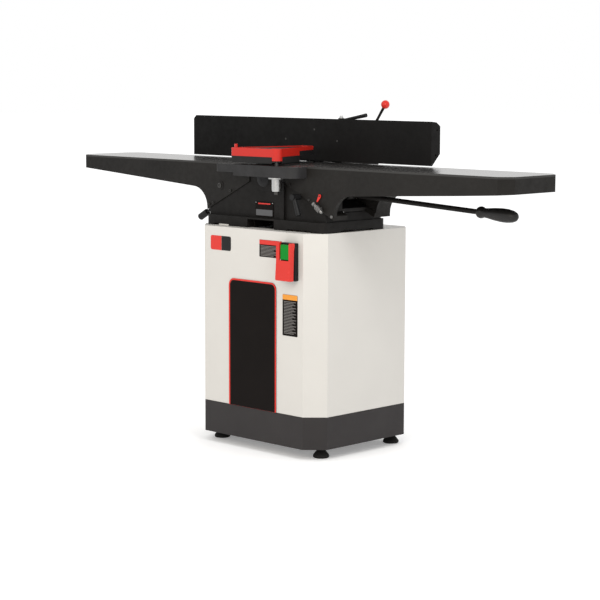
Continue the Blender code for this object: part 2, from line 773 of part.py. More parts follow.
def make_bed():
    bed = upright("bed_casting", bed_outline(), BED_FRONT, BED_REAR)
    corners = rectangle(BED_LEFT, BED_RIGHT, FLANGE_FRONT, FLANGE_REAR)
    flange = prism("bed_flange", rounded(corners, (0.020,) * 4, steps=4), BED_BOTTOM, FLANGE_TOP)
    rib = box("bed_rib", (0.047, BED_FRONT - 0.007, BED_BOTTOM + 0.020), (TOWER_RIGHT - 0.001,
              BED_FRONT + 0.004, 0.7615))
    join(bed, flange, rib)
    for side, top_x, end_x in ((1, TOWER_RIGHT, BED_RIGHT - 0.006), (-1, TOWER_LEFT, BED_LEFT + 0.006)):
        run = abs(end_x - top_x) / math.cos(RAMP_ANGLE)
        join(bed, along_way(f"tongue_{side}", tongue_outline(), side, top_x, -0.004, run))

    throat = box("throat", (THROAT_LEFT, HEAD_FRONT - GAP, BED_BOTTOM - 0.01),
                 (THROAT_RIGHT, HEAD_REAR + GAP, TOWER_TOP + 0.01))
    seat = box("bearing_seat", (HEAD_X - HOUSING_RADIUS - 0.002, FLANGE_FRONT - 0.01, SEAT_Z),
               (HEAD_X + HOUSING_RADIUS + 0.002, FLANGE_REAR + 0.01, TOWER_TOP + 0.01))
    cut(bed, throat, seat)
    middle = TABLE_WIDTH / 2
    low = BED_BOTTOM - 0.01
    hollows = {
        "left": [(BED_LEFT + 0.014, low), (THROAT_LEFT - 0.012, low),
                 (THROAT_LEFT - 0.012, RAMP_TOP - 0.020), (BED_LEFT + 0.014, way_height(0.1595) - 0.012)],
        "right": [(THROAT_RIGHT + 0.012, low), (BED_RIGHT - 0.014, low),
                  (BED_RIGHT - 0.014, way_height(0.1446) - 0.012), (TOWER_RIGHT, RAMP_TOP - 0.014),
                  (THROAT_RIGHT + 0.012, RAMP_TOP - 0.014)],
    }
    for name, outline in hollows.items():
        cut(bed, upright(f"hollow_front_{name}", outline, BED_FRONT + WALL, middle - WALL / 2))
        cut(bed, upright(f"hollow_rear_{name}", outline, middle + WALL / 2, BED_REAR - WALL))
    front_arch = box("front_arch", (-0.0745, FLANGE_FRONT - 0.01, BED_BOTTOM - 0.01),
                     (0.032, HEAD_FRONT + 0.001, 0.654))
    rear_arch = box("rear_arch", (HEAD_X - 0.062, HEAD_REAR - 0.001, BED_BOTTOM - 0.01),
                    (HEAD_X + 0.062, BED_REAR + 0.0004, 0.654))
    belt_gap = box("belt_gap", (HEAD_X - 0.062, BED_REAR + 0.0002, BED_BOTTOM - 0.01),
                   (HEAD_X + 0.062, FLANGE_REAR + 0.01, FLANGE_TOP + 0.01))
    cut(bed, front_arch, rear_arch, belt_gap)
    foot_gaps = ((-0.212, -0.168), (0.085, 0.175))
    for number, (left, right) in enumerate(foot_gaps):
        cut(bed, box(f"foot_gap_{number}", (left, FLANGE_FRONT - 0.01, BED_BOTTOM - 0.01),
                     (right, FLANGE_REAR + 0.01, BED_BOTTOM + 0.0045)))
    cut(bed, box("foot_gap_side", (BED_LEFT - 0.01, 0.060, BED_BOTTOM - 0.01),
                 (BED_RIGHT + 0.01, 0.190, BED_BOTTOM + 0.0045)))
    place_part(bed, "black_casting")


def make_nameplate():
    rear = BED_FRONT - GAP
    outline = rounded(rectangle(-0.055, 0.017, 0.662, 0.705), (0.003,) * 4, steps=2)
    place_part(upright("nameplate", outline, rear - 0.0015, rear), "ground_iron")


BEARING_SPANS = {"front": (0.0008, 0.0119), "rear": (0.2167, 0.2278)}


def make_bearings():
    for name, (front, rear) in BEARING_SPANS.items():
        block = rod(f"{name}_bearing_housing", (HEAD_X, front, HEAD_Z), (HEAD_X, rear, HEAD_Z),
                    HOUSING_RADIUS,
                    sides=36)
        foot = box(f"{name}_housing_foot", (HEAD_X - HOUSING_RADIUS, front, SEAT_Z + GAP),
                   (HEAD_X + HOUSING_RADIUS, rear, HEAD_Z))
        join(block, foot)
        bore = rod(f"{name}_housing_bore", (HEAD_X, front - 0.01, HEAD_Z), (HEAD_X, rear + 0.01, HEAD_Z),
                   BEARING_RADIUS + GAP, sides=36)
        cut(block, bore)
        place_part(block, "black_casting", smooth=35)
        depth = rear - front - 0.0008
        inner = SHAFT_RADIUS + GAP
        profile = [(BEARING_RADIUS, depth), (BEARING_RADIUS, 0.0), (BEARING_RADIUS - 0.003, 0.0),
                   (BEARING_RADIUS - 0.004, 0.0015), (inner + 0.003, 0.0015), (inner + 0.002, 0.0),
                   (inner, 0.0), (inner, depth)]
        ring = turned(f"{name}_bearing", profile, (HEAD_X, front + 0.0004, HEAD_Z), (0, 1, 0), sides=36,
                      closed=True)
        place_part(ring, "bright_steel", smooth=35)


# ---------------------------------------------------------------- cutterhead

SLOT_HALF = 0.006
SLOT_FLOOR = 0.020


def head_box(name, number, tangent, radial, ends):
    """A bar along the cutterhead, given by its spans across and out from the axis."""
    bar = box(name, (tangent[0], ends[0], radial[0]), (tangent[1], ends[1], radial[1]))
    middle = bar.location.copy()
    bar.data.transform(Matrix.Translation(middle))
    bar.location = (HEAD_X, 0.0, HEAD_Z)
    bar.rotation_euler = (0.0, math.radians(60 + 360 / KNIFE_COUNT * number), 0.0)
    return bar


def make_cutterhead():
    start = BEARING_SPANS["front"][0]
    end = PULLEY_Y + PULLEY_WIDTH / 2 + 0.003
    thin = SHAFT_RADIUS - 0.003
    profile = [(0.0, end), (thin, end), (thin, BEARING_SPANS["rear"][1] + 0.002),
               (SHAFT_RADIUS, BEARING_SPANS["rear"][1] + 0.002), (SHAFT_RADIUS, HEAD_REAR),
               (HEAD_RADIUS, HEAD_REAR), (HEAD_RADIUS, HEAD_FRONT), (SHAFT_RADIUS, HEAD_FRONT),
               (SHAFT_RADIUS, start), (0.0, start)]
    head = turned("cutterhead_body", profile, (HEAD_X, 0.0, HEAD_Z), (0, 1, 0), sides=48)
    for number in range(KNIFE_COUNT):
        slot = head_box(f"knife_slot_{number}", number, (-SLOT_HALF, SLOT_HALF), (SLOT_FLOOR, 0.05),
                        (HEAD_FRONT - 0.002, HEAD_REAR + 0.002))
        cut(head, slot)
    place_part(head, "bright_steel", HEAD, smooth=35)
    ends = (HEAD_FRONT + 0.0005, HEAD_REAR - 0.0005)
    for number in range(KNIFE_COUNT):
        knife = head_box(f"knife_{number + 1}", number, (SLOT_HALF - 0.0035, SLOT_HALF - GAP),
                         (SLOT_FLOOR + GAP, CUT_RADIUS - 0.0004), ends)
        place_part(knife, "bright_steel", HEAD)
        gib = head_box(f"knife_gib_{number + 1}", number, (-SLOT_HALF + GAP, SLOT_HALF - 0.0038),
                       (SLOT_FLOOR + GAP, HEAD_RADIUS - 0.003), ends)
        place_part(gib, "ground_iron", HEAD)


# ---------------------------------------------------------------- tables

def table_pockets(table, side, first, last, count):
    """Hollows under a table's top, with a rib along its middle and ribs across it."""
    pitch = (last - first) / count
    middle = TABLE_WIDTH / 2
    spans = ((TABLE_SKIRT, middle - TABLE_SKIRT / 2), (middle + TABLE_SKIRT / 2, TABLE_WIDTH - TABLE_SKIRT))
    for column in range(count):
        start = first + pitch * column + TABLE_SKIRT / 2
        end = first + pitch * (column + 1) - TABLE_SKIRT / 2
        for row, (front, rear) in enumerate(spans):
            low = (min(side * start, side * end), front, BED_BOTTOM)
            high = (max(side * start, side * end), rear, TABLE_HEIGHT - TABLE_PLATE)
            cut(table, box(f"pocket_{side}_{column}_{row}", low, high))


def head_clearance(name):
    return rod(name, (HEAD_X, -0.01, HEAD_Z), (HEAD_X, TABLE_WIDTH + 0.01, HEAD_Z),
               CUT_RADIUS + LIP_CLEARANCE, sides=64)


def end_corners(side):
    """Two upright wedges that chamfer a table's end."""
    reach = side * TABLE_REACH
    tools = []
    for y in (0.0, TABLE_WIDTH):
        tool = box(f"corner_{side}_{y > 0}", (-END_CHAMFER, -END_CHAMFER, -0.1), (END_CHAMFER,
                   END_CHAMFER, 0.1))
        scale = 1 / math.sqrt(2)
        tool.data.transform(Matrix.Diagonal((scale, scale, 1.0, 1.0)))
        tool.location = (reach, y, TABLE_HEIGHT - 0.05)
        tool.rotation_euler = (0.0, 0.0, math.radians(45))
        tools.append(tool)
    return tools


def rail_hollow(name, side, tower, rail_end):
    """The space between the rails, above the dovetail."""
    rise = (TONGUE_HEIGHT + RUN) / math.cos(RAMP_ANGLE)
    start = tower + side * 0.012
    end = rail_end + side * (RAIL_ARC + 0.010)
    low = RAMP_TOP - abs(end - tower) * math.tan(RAMP_ANGLE) + rise
    outline = [(start, way_height(abs(start - tower)) + rise), (end, low),
               (end, TABLE_HEIGHT - TABLE_PLATE), (start, TABLE_HEIGHT - TABLE_PLATE)]
    return upright(name, outline, RAIL_WIDTH, TABLE_WIDTH - RAIL_WIDTH - 0.0036)


def ride_height(distance):
    """Underside of a rail, a running gap above its way."""
    return way_height(distance) + RUN / math.cos(RAMP_ANGLE)


def rail_end_hollow():
    """Opens the end of the infeed table's front rail, behind its wall and under the hollow curve."""
    near = INFEED_RAIL_END - 0.020
    far = INFEED_RAIL_END + RAIL_ARC + 0.010
    floor = [(x, ride_height(x - TOWER_RIGHT) + RAIL_FLOOR) for x in (near, far)]
    roof = TABLE_HEIGHT - 0.020
    outline = floor + [(far, roof), (near, roof)]
    return upright("infeed_rail_end_hollow", outline, RAIL_WALL, RAIL_WIDTH + 0.001)


def make_infeed_table():
    end = INFEED_RAIL_END
    near = TOWER_RIGHT + 0.002
    neck = end + RAIL_ARC
    curve = arc((neck, NECK_Z - RAIL_ARC), RAIL_ARC, 90, 180, 8)
    outline = [(HEAD_X + LIP_REACH, TABLE_HEIGHT), (HEAD_X + LIP_REACH, LIP_UNDER), (near, LIP_UNDER),
               (near, ride_height(near - TOWER_RIGHT)), (end, ride_height(end - TOWER_RIGHT))]
    outline += reversed(curve)
    outline += [(0.491, 0.7458), (0.694, 0.7565), (TABLE_REACH, TABLE_HEIGHT - INFEED_END),
                (TABLE_REACH, TABLE_HEIGHT)]
    table = upright("infeed_table", outline, 0.0, TABLE_WIDTH)
    cut(table, head_clearance("infeed_head_clearance"), *end_corners(1))
    cut(table, rail_hollow("infeed_rail_hollow", 1, TOWER_RIGHT, end))
    cut(table, rail_end_hollow())
    cut(table, along_way("infeed_dovetail", tongue_outline(RUN, gib=True), 1, TOWER_RIGHT, -0.02, 0.30))
    table_pockets(table, 1, neck + 0.018, POCKET_END, 4)
    pin_ends = (RAIL_WIDTH - 0.010, TABLE_WIDTH - RAIL_WIDTH + 0.008)
    cut(table, rod("lever_pin_bore", (LEVER_X, pin_ends[0], LEVER_Z), (LEVER_X, pin_ends[1], LEVER_Z),
                   PIN_RADIUS + GAP, sides=16))
    place_part(table, "ground_iron", INFEED)


def make_outfeed_table():
    end = OUTFEED_RAIL_END
    near = TOWER_LEFT - 0.002
    neck = end - RAIL_ARC
    curve = arc((neck, NECK_Z - RAIL_ARC), RAIL_ARC, 0, 90, 8)
    outline = [(HEAD_X - LIP_REACH, TABLE_HEIGHT), (-TABLE_REACH, TABLE_HEIGHT),
               (-TABLE_REACH, TABLE_HEIGHT - OUTFEED_END)]
    outline += reversed(curve)
    outline += [(end, ride_height(TOWER_LEFT - end)), (near, ride_height(TOWER_LEFT - near)),
                (near, LIP_UNDER), (HEAD_X - LIP_REACH, LIP_UNDER)]
    table = upright("outfeed_table", outline, 0.0, TABLE_WIDTH)
    cut(table, head_clearance("outfeed_head_clearance"), *end_corners(-1))
    cut(table, rail_hollow("outfeed_rail_hollow", -1, TOWER_LEFT, end))
    cut(table, along_way("outfeed_dovetail", tongue_outline(RUN, gib=True), -1, TOWER_LEFT, -0.02, 0.30))
    table_pockets(table, -1, -neck + 0.018, POCKET_END, 4)
    start = Vector(OUTFEED_KNOB_START)
    inward = start - knob_direction() * (STUD_REACH + 0.004)
    cut(table, rod("knob_bore", tuple(start), tuple(inward), STUD_HALF + GAP, sides=20))
    boss = rod("outfeed_boss", (-0.1996, -0.0015, 0.743), (-0.1996, 0.004, 0.743), 0.014, sides=20)
    join(table, boss)
    place_part(table, "ground_iron", OUTFEED)


def make_gibs():
    """Tapered strips between each front rail and its dovetail."""
    lean = TONGUE_UNDERCUT / TONGUE_HEIGHT
    low = 0.0008
    high = TONGUE_HEIGHT - 0.0005
    near = RAIL_WIDTH + GAP
    foot = TONGUE_FRONT + (TONGUE_HEIGHT - low) * lean - RUN
    head = TONGUE_FRONT + (TONGUE_HEIGHT - high) * lean - RUN
    outline = [(near, low), (foot, low), (head, high), (near, high)]
    infeed = along_way("infeed_gib", outline, 1, TOWER_RIGHT, 0.012, 0.185)
    place_part(infeed, "bright_steel", INFEED)
    outfeed = along_way("outfeed_gib", outline, -1, TOWER_LEFT, 0.012, 0.180)
    place_part(outfeed, "bright_steel", OUTFEED)


def make_ledge():
    """The rabbeting ledge, bolted to the infeed table's front and reaching past the knives."""
    top = TABLE_HEIGHT - GAP
    corners = rectangle(LEDGE_LEFT, LEDGE_RIGHT, LEDGE_FRONT, -0.0008)
    outline = rounded(corners, (0.010, 0.030, 0.0, 0.0), steps=6)
    ledge = prism("rabbeting_ledge", outline, LEDGE_BOTTOM, top)
    cut(ledge, box("ledge_tip_cut", (LEDGE_LEFT - 0.01, LEDGE_FRONT - 0.01, LEDGE_BOTTOM - 0.01),
                   (LEDGE_TIP, 0.01, LEDGE_TIP_BOTTOM)))
    cut(ledge, rod("ledge_bore", (POST_X, POST_Y, LEDGE_BOTTOM - 0.01), (POST_X, POST_Y, top + 0.01),
                   POST_RADIUS + GAP, sides=16))
    place_part(ledge, "ground_iron", INFEED)


# ---------------------------------------------------------------- elevation lever and locks

PIN_RADIUS = 0.006


def lever_point(distance):
    return (LEVER_X + distance * math.cos(LEVER_SLOPE), LEVER_Y, LEVER_Z + distance * math.sin(LEVER_SLOPE))


def make_lever():
    hub_half = 0.012
    bar_end = LEVER_TIP - GRIP_LENGTH + 0.070
    lever = rod("elevation_lever", lever_point(0.0), lever_point(bar_end), LEVER_RADIUS, sides=16)
    hub = rod("lever_hub", (LEVER_X, LEVER_Y - hub_half, LEVER_Z), (LEVER_X, LEVER_Y + hub_half, LEVER_Z),
              0.0145, sides=24)
    join(lever, hub)
    bore = rod("lever_bore", (LEVER_X, LEVER_Y - 0.02, LEVER_Z), (LEVER_X, LEVER_Y + 0.02, LEVER_Z),
               PIN_RADIUS + GAP, sides=16)
    cut(lever, bore)
    place_part(lever, "black_casting", LEVER, smooth=35)

    hole = LEVER_RADIUS + GAP
    depth = 0.072
    start = GRIP_LENGTH
    profile = [
        (0.0, start), (0.006, start - 0.001), (0.0115, start - 0.006), (0.0155, start - 0.016),
        (0.0180, start - 0.034), (0.0180, start - 0.052), (0.0160, start - 0.076), (0.0130, start - 0.098),
        (0.0122, start - 0.108), (0.0150, start - 0.114), (0.0158, start - 0.119), (0.0145, start - 0.125),
        (0.0120, 0.0), (hole, 0.0), (hole, depth), (0.0, depth),
    ]
    base = lever_point(LEVER_TIP - GRIP_LENGTH)
    along = (math.cos(LEVER_SLOPE), 0.0, math.sin(LEVER_SLOPE))
    place_part(turned("lever_grip", profile, base, along, sides=28), "black_plastic", LEVER)

    pin_front = RAIL_WIDTH - 0.009
    pin_rear = TABLE_WIDTH - RAIL_WIDTH + 0.007
    pin = rod("lever_pivot_pin", (LEVER_X, pin_front, LEVER_Z), (LEVER_X, pin_rear, LEVER_Z), PIN_RADIUS,
              sides=16)
    place_part(pin, "bright_steel", INFEED, smooth=35)


INFEED_LOCK = (0.120, 0.7256)
OUTFEED_KNOB_START = (-0.2859, 0.030, 0.6606)
OUTFEED_KNOB_END = (-0.3182, 0.030, 0.6424)
STUD_HALF = 0.004
STUD_REACH = 0.046


def knob_direction():
    return (Vector(OUTFEED_KNOB_END) - Vector(OUTFEED_KNOB_START)).normalized()


def make_table_locks():
    x, z = INFEED_LOCK
    axis = make_empty("infeed_lock_axis", (x, -0.012, z), INFEED)
    handle = rod("infeed_lock_handle", (x, -0.029, z), (x, -GAP, z), 0.0085, sides=20)
    arm = rod("infeed_lock_arm", (x + 0.002, -0.0208, z - 0.003), (x + 0.0190, -0.0208, z - 0.0500),
              0.0052, 0.0075, sides=16)
    join(handle, arm)
    place_part(handle, "black_plastic", axis, smooth=35)

    start = Vector(OUTFEED_KNOB_START)
    along = knob_direction()
    axis = make_empty("outfeed_lock_axis", tuple(start), OUTFEED)
    length = (Vector(OUTFEED_KNOB_END) - start).length
    stud = STUD_HALF
    reach = STUD_REACH
    profile = [(0.0, length), (0.0085, length), (0.0100, length - 0.002), (0.0100, 0.002), (0.0085, 0.0),
               (stud, 0.0), (stud, -reach), (0.0, -reach)]
    knob = turned("outfeed_lock_knob", profile, tuple(start), tuple(along), sides=20)
    place_part(knob, "black_plastic", axis)


STOP_START = Vector((0.190, -0.0105, 0.707))
STOP_END = Vector((0.218, -0.0105, 0.6865))


def make_depth_stop():
    """A sprung plunger in a sleeve, and the pointer above it."""
    along = (STOP_END - STOP_START).normalized()
    axis = make_empty("depth_stop_axis", tuple(STOP_START), INFEED)
    sleeve_start = STOP_START + along * 0.008
    sleeve_end = STOP_START + along * 0.026
    bracket = rod("depth_stop_bracket", sleeve_start, sleeve_end, 0.0075, sides=20)
    middle = (sleeve_start + sleeve_end) / 2
    foot = box("stop_foot", (middle.x - 0.005, middle.y, middle.z - 0.005), (middle.x + 0.005, -GAP,
               middle.z + 0.005))
    join(bracket, foot)
    cut(bracket, rod("stop_bore", STOP_START, STOP_END, 0.0045 + GAP, sides=16))
    place_part(bracket, "black_casting", INFEED, smooth=35)

    length = (STOP_END - STOP_START).length
    profile = [(0.0, length), (0.0030, length), (0.0045, length - 0.002), (0.0045, 0.0),
               (0.0065, 0.0), (0.0065, -0.006), (0.0, -0.006)]
    plunger = turned("depth_stop_plunger", profile, tuple(STOP_START), tuple(along), sides=16)
    place_part(plunger, "bright_steel", axis)

    pointer = upright("depth_pointer", [(0.1905, 0.7165), (0.1945, 0.7150), (0.2065, 0.7290),
                      (0.2060, 0.7360),
                                        (0.1990, 0.7365)], -0.0042, -0.0027)
    cut(pointer, rod("pointer_hole", (0.2015, -0.01, 0.7315), (0.2015, 0.01, 0.7315), 0.0022, sides=12))
    place_part(pointer, "red_plastic", INFEED)


# ---------------------------------------------------------------- guard

GUARD_CORNERS = ((-0.1005, -0.055), (0.078, -0.046), (-0.0095, 0.192), (-0.052, 0.185))
GUARD_ROUNDS = (0.008, 0.016, 0.010, 0.012)
GUARD_LOW = GUARD_TOP - GUARD_SIDE
SKIRT_LOW = GUARD_LOW - SKIRT_DROP
DECK_TOP = GUARD_TOP - 0.0045
DECK_LOW = DECK_TOP - 0.0035
PEG_X = -0.084
PEG_Y = -0.046


def guard_outline(amount=0.0):
    return rounded(GUARD_CORNERS, GUARD_ROUNDS, steps=4, amount=amount)


def raised_cutters(name, height, away=0.0):
    """Tools that lift a lower edge where the guard hangs over the tables."""
    corner = Vector(GUARD_CORNERS[1])
    onward = (Vector(GUARD_CORNERS[2]) - corner).normalized()
    reach = LOW_REACH + away
    far = box(name + "_far", (-0.3, -0.15, -0.05), (0.3, 0.15, 0.05))
    far.data.transform(Matrix.Translation((0.0, 0.15, -0.05)))
    far.location = (POST_X + onward.x * reach, POST_Y + onward.y * reach, height)
    far.rotation_euler = (0.0, 0.0, math.atan2(-onward.x, onward.y))
    left = box(name + "_left", (-0.3, away - 0.001, height - 0.1), (HEAD_X - 0.006, 0.3, height))
    return far, left


def guard_rod(name, low, high, radius, place=None, sides=32):
    x, y = place or (POST_X, POST_Y)
    return rod(name, (x, y, low), (x, y, high), radius, sides=sides)


def make_guard_cover():
    cover = prism("guard_cover", guard_outline(), GUARD_LOW, GUARD_TOP)
    cut(cover, prism("guard_recess", guard_outline(0.005), DECK_TOP, GUARD_TOP + 0.01))
    cut(cover, prism("guard_hollow", guard_outline(0.003), GUARD_LOW - 0.02, DECK_LOW))
    cut(cover, *raised_cutters("cover", GUARD_LOW + GUARD_LIFT))
    join(cover, guard_rod("guard_boss", GUARD_LOW - 0.0105, GUARD_TOP + 0.0006, BOSS_RADIUS))
    join(cover, guard_rod("guard_peg", DECK_TOP - 0.002, GUARD_TOP + 0.010, 0.005, (PEG_X, PEG_Y), 16))
    cut(cover, guard_rod("guard_bore", GUARD_LOW - 0.03, GUARD_TOP - 0.010, POST_RADIUS + GAP, sides=16))
    place_part(cover, "red_plastic", GUARD, smooth=35)


def make_guard_plate():
    plate = prism("guard_top_plate", guard_outline(0.0054), DECK_TOP + GAP, DECK_TOP + 0.0018)
    cut(plate, guard_rod("plate_boss_hole", 0.84, 0.87, BOSS_RADIUS + GAP))
    cut(plate, guard_rod("plate_peg_hole", 0.84, 0.87, 0.005 + GAP, (PEG_X, PEG_Y), 16))
    place_part(plate, "black_plastic", GUARD)


def make_guard_skirt():
    """A soft skirt that lines the cover and hangs below it."""
    top = DECK_LOW - GAP
    skirt = prism("guard_skirt", guard_outline(), SKIRT_LOW, top)
    cover_room = prism("cover_room", guard_outline(-0.004), GUARD_LOW - GAP, top + 0.01)
    lift = GUARD_LOW + GUARD_LIFT - GAP
    cut(cover_room, prism("liner_keep", guard_outline(0.0033), GUARD_LOW - 0.01, top + 0.02))
    cut(cover_room, *raised_cutters("room", lift, GAP))
    cut(skirt, cover_room, prism("skirt_inside", guard_outline(0.0060), SKIRT_LOW - 0.01, top + 0.01))
    cut(skirt, *raised_cutters("skirt", SKIRT_LOW + SKIRT_LIFT, 0.0002))
    cut(skirt, guard_rod("skirt_boss_hole", 0.80, 0.87, BOSS_RADIUS + GAP))
    place_part(skirt, "rubber", GUARD)


def make_guard_post():
    profile = [(0.0, 0.1135), (POST_RADIUS, 0.1135), (POST_RADIUS, 0.008), (0.0070, 0.008), (0.0070, 0.0),
               (0.0, 0.0)]
    place_part(turned("guard_post", profile, (POST_X, POST_Y, 0.7305), (0, 0, 1), sides=20),
               "bright_steel", GUARD)
    bore = POST_RADIUS + GAP
    top = LEDGE_BOTTOM - GAP
    bottom = 0.7305 + 0.008 + GAP
    rise = top - bottom
    profile = [(0.0235, rise), (0.0235, rise - 0.004), (0.0140, rise - 0.005), (0.0140, 0.006),
               (0.0125, 0.0), (bore, 0.0), (bore, rise)]
    housing = turned("guard_spring_housing", profile, (POST_X, POST_Y, bottom), (0, 0, 1), sides=28,
                     closed=True)
    place_part(housing, "bright_steel", INFEED, smooth=35)


# ---------------------------------------------------------------- fence

def fence_outline():
    face = FENCE_FACE
    low = FENCE_BOTTOM
    back = face + FENCE_DEPTH
    top = low + FENCE_HEIGHT
    return [(face, low), (face + 0.004, low), (back, low + FENCE_DEPTH - 0.004), (back, top - 0.013),
            (face + 0.021, top - 0.0024), (face, top)]


def arm_centres():
    return (CARRIAGE_X - ARM_SPACING, CARRIAGE_X + ARM_SPACING)


def make_fence():
    fence = prism("fence", fence_outline(), FENCE_LEFT, FENCE_RIGHT, CROSS)
    count = 8
    wall = WALL
    pitch = (FENCE_RIGHT - FENCE_LEFT - wall) / count
    for number in range(count):
        start = FENCE_LEFT + wall + pitch * number
        cut(fence, box(f"fence_pocket_{number}", (start, FENCE_FACE + FENCE_PLATE, FENCE_BOTTOM + 0.043),
                       (start + pitch - wall, FENCE_FACE + FENCE_DEPTH + 0.01,
                        FENCE_BOTTOM + FENCE_HEIGHT - 0.016)))
    for number, x in enumerate(arm_centres()):
        half = ARM_WIDTH / 2 + 0.0012
        cut(fence, box(f"fence_notch_{number}", (x - half, HINGE_Y - 0.007, FENCE_BOTTOM - 0.01),
                       (x + half, FENCE_FACE + FENCE_DEPTH + 0.01, HINGE_Z + 0.044)))
        cut(fence, rod(f"fence_bore_{number}", (x - 0.022, HINGE_Y, HINGE_Z), (x + 0.022, HINGE_Y, HINGE_Z),
                       HINGE_PIN + GAP, sides=16))
    corner = box("fence_corner", (-0.0075, -0.05, -0.0075), (0.0075, 0.05, 0.0075))
    corner.location = (FENCE_LEFT, FENCE_FACE + 0.02, FENCE_BOTTOM + FENCE_HEIGHT)
    corner.rotation_euler = (0.0, math.radians(45), 0.0)
    cut(fence, corner)
    for number, (back, up) in enumerate(((0.0235, 0.097), (0.0185, 0.029))):
        y = FENCE_FACE + back
        z = FENCE_BOTTOM + up
        cut(fence, rod(f"fence_end_hole_{number}", (FENCE_RIGHT - 0.008, y, z),
            (FENCE_RIGHT + 0.01, y, z), 0.0028,
                       sides=12))
    place_part(fence, "ground_iron", TILT)
    for name, x in zip(("left", "right"), arm_centres()):
        pin = rod(f"fence_hinge_pin_{name}", (x - 0.0205, HINGE_Y, HINGE_Z), (x + 0.0205, HINGE_Y,
                  HINGE_Z), HINGE_PIN,
                  sides=16)
        place_part(pin, "bright_steel", CARRIAGE, smooth=35)


def make_fence_base():
    """A slideway that stands on two legs behind the bed and bridges the belt."""
    left = CARRIAGE_X - 0.100
    right = CARRIAGE_X + 0.100
    front = TABLE_WIDTH + 0.0014
    low = SLIDE_TOP - SLIDE_PLATE
    base = box("fence_base", (left, front + 0.016, low), (right, CARRIAGE_REAR, SLIDE_TOP))
    leg_outline = [(front, FLANGE_TOP + GAP), (front + 0.016, FLANGE_TOP + GAP),
                   (CARRIAGE_REAR - 0.040, low + 0.001), (front, low + 0.001)]
    for number, x in enumerate((left, right - 0.018)):
        join(base, prism(f"fence_leg_{number}", leg_outline, x, x + 0.018, CROSS))
    keyway_front = CARRIAGE_REAR - KEY_INSET - KEY_LENGTH - FENCE_TRAVEL - 0.001
    cut(base, box("fence_keyway", (CARRIAGE_X - 0.0105, keyway_front, low - 0.01),
                  (CARRIAGE_X + 0.0105, CARRIAGE_REAR - KEY_INSET + 0.0015, SLIDE_TOP + 0.01)))
    place_part(base, "black_casting")


def make_carriage():
    top = PLATE_BOTTOM + CARRIAGE_PLATE
    carriage = box("fence_carriage", (CARRIAGE_X - CARRIAGE_HALF, CARRIAGE_FRONT, PLATE_BOTTOM),
                   (CARRIAGE_X + CARRIAGE_HALF, CARRIAGE_REAR, top))
    post = box("carriage_post", (CARRIAGE_X - 0.016, STUD_Y - 0.013, top - 0.002),
               (CARRIAGE_X + 0.016, STUD_Y + 0.013, 0.918))
    web = prism("carriage_web", [(STUD_Y, top - 0.002), (CARRIAGE_REAR - 0.006, top - 0.002),
                                 (STUD_Y + 0.012, 0.900), (STUD_Y, 0.900)], CARRIAGE_X - 0.005,
                CARRIAGE_X + 0.005, CROSS)
    ear = box("carriage_ear", (LOCK_X - 0.018, STUD_Y + 0.0076, top - 0.002), (LOCK_X - 0.0025,
              STUD_Y + 0.028, LOCK_Z + 0.018))
    lug = rod("carriage_lug", (LOCK_X, STUD_Y + 0.0076, LOCK_Z), (LOCK_X, STUD_Y + 0.028, LOCK_Z), 0.015,
              sides=24)
    key_rear = CARRIAGE_REAR - KEY_INSET
    key = box("carriage_key", (CARRIAGE_X - 0.0095, key_rear - KEY_LENGTH, SLIDE_TOP - 0.0075),
              (CARRIAGE_X + 0.0095, key_rear, PLATE_BOTTOM + 0.001))
    join(carriage, post, web, ear, lug, key)
    for number, x in enumerate(arm_centres()):
        arm = box(f"carriage_arm_{number}", (x - ARM_WIDTH / 2, HINGE_Y, HINGE_Z - 0.0064),
                  (x + ARM_WIDTH / 2, CARRIAGE_FRONT + 0.012, HINGE_Z + 0.0064))
        root = box(f"arm_root_{number}", (x - ARM_WIDTH / 2, CARRIAGE_FRONT, top - 0.003),
                   (x + ARM_WIDTH / 2, CARRIAGE_FRONT + 0.025, HINGE_Z + 0.0064))
        knuckle = rod(f"carriage_knuckle_{number}", (x - ARM_WIDTH / 2, HINGE_Y, HINGE_Z),
                      (x + ARM_WIDTH / 2, HINGE_Y, HINGE_Z), 0.0065, sides=24)
        join(carriage, root, arm, knuckle)
        cut(carriage, rod(f"arm_bore_{number}", (x - 0.02, HINGE_Y, HINGE_Z), (x + 0.02, HINGE_Y, HINGE_Z),
                          HINGE_PIN + GAP, sides=16))
    place_part(carriage, "black_casting", CARRIAGE)


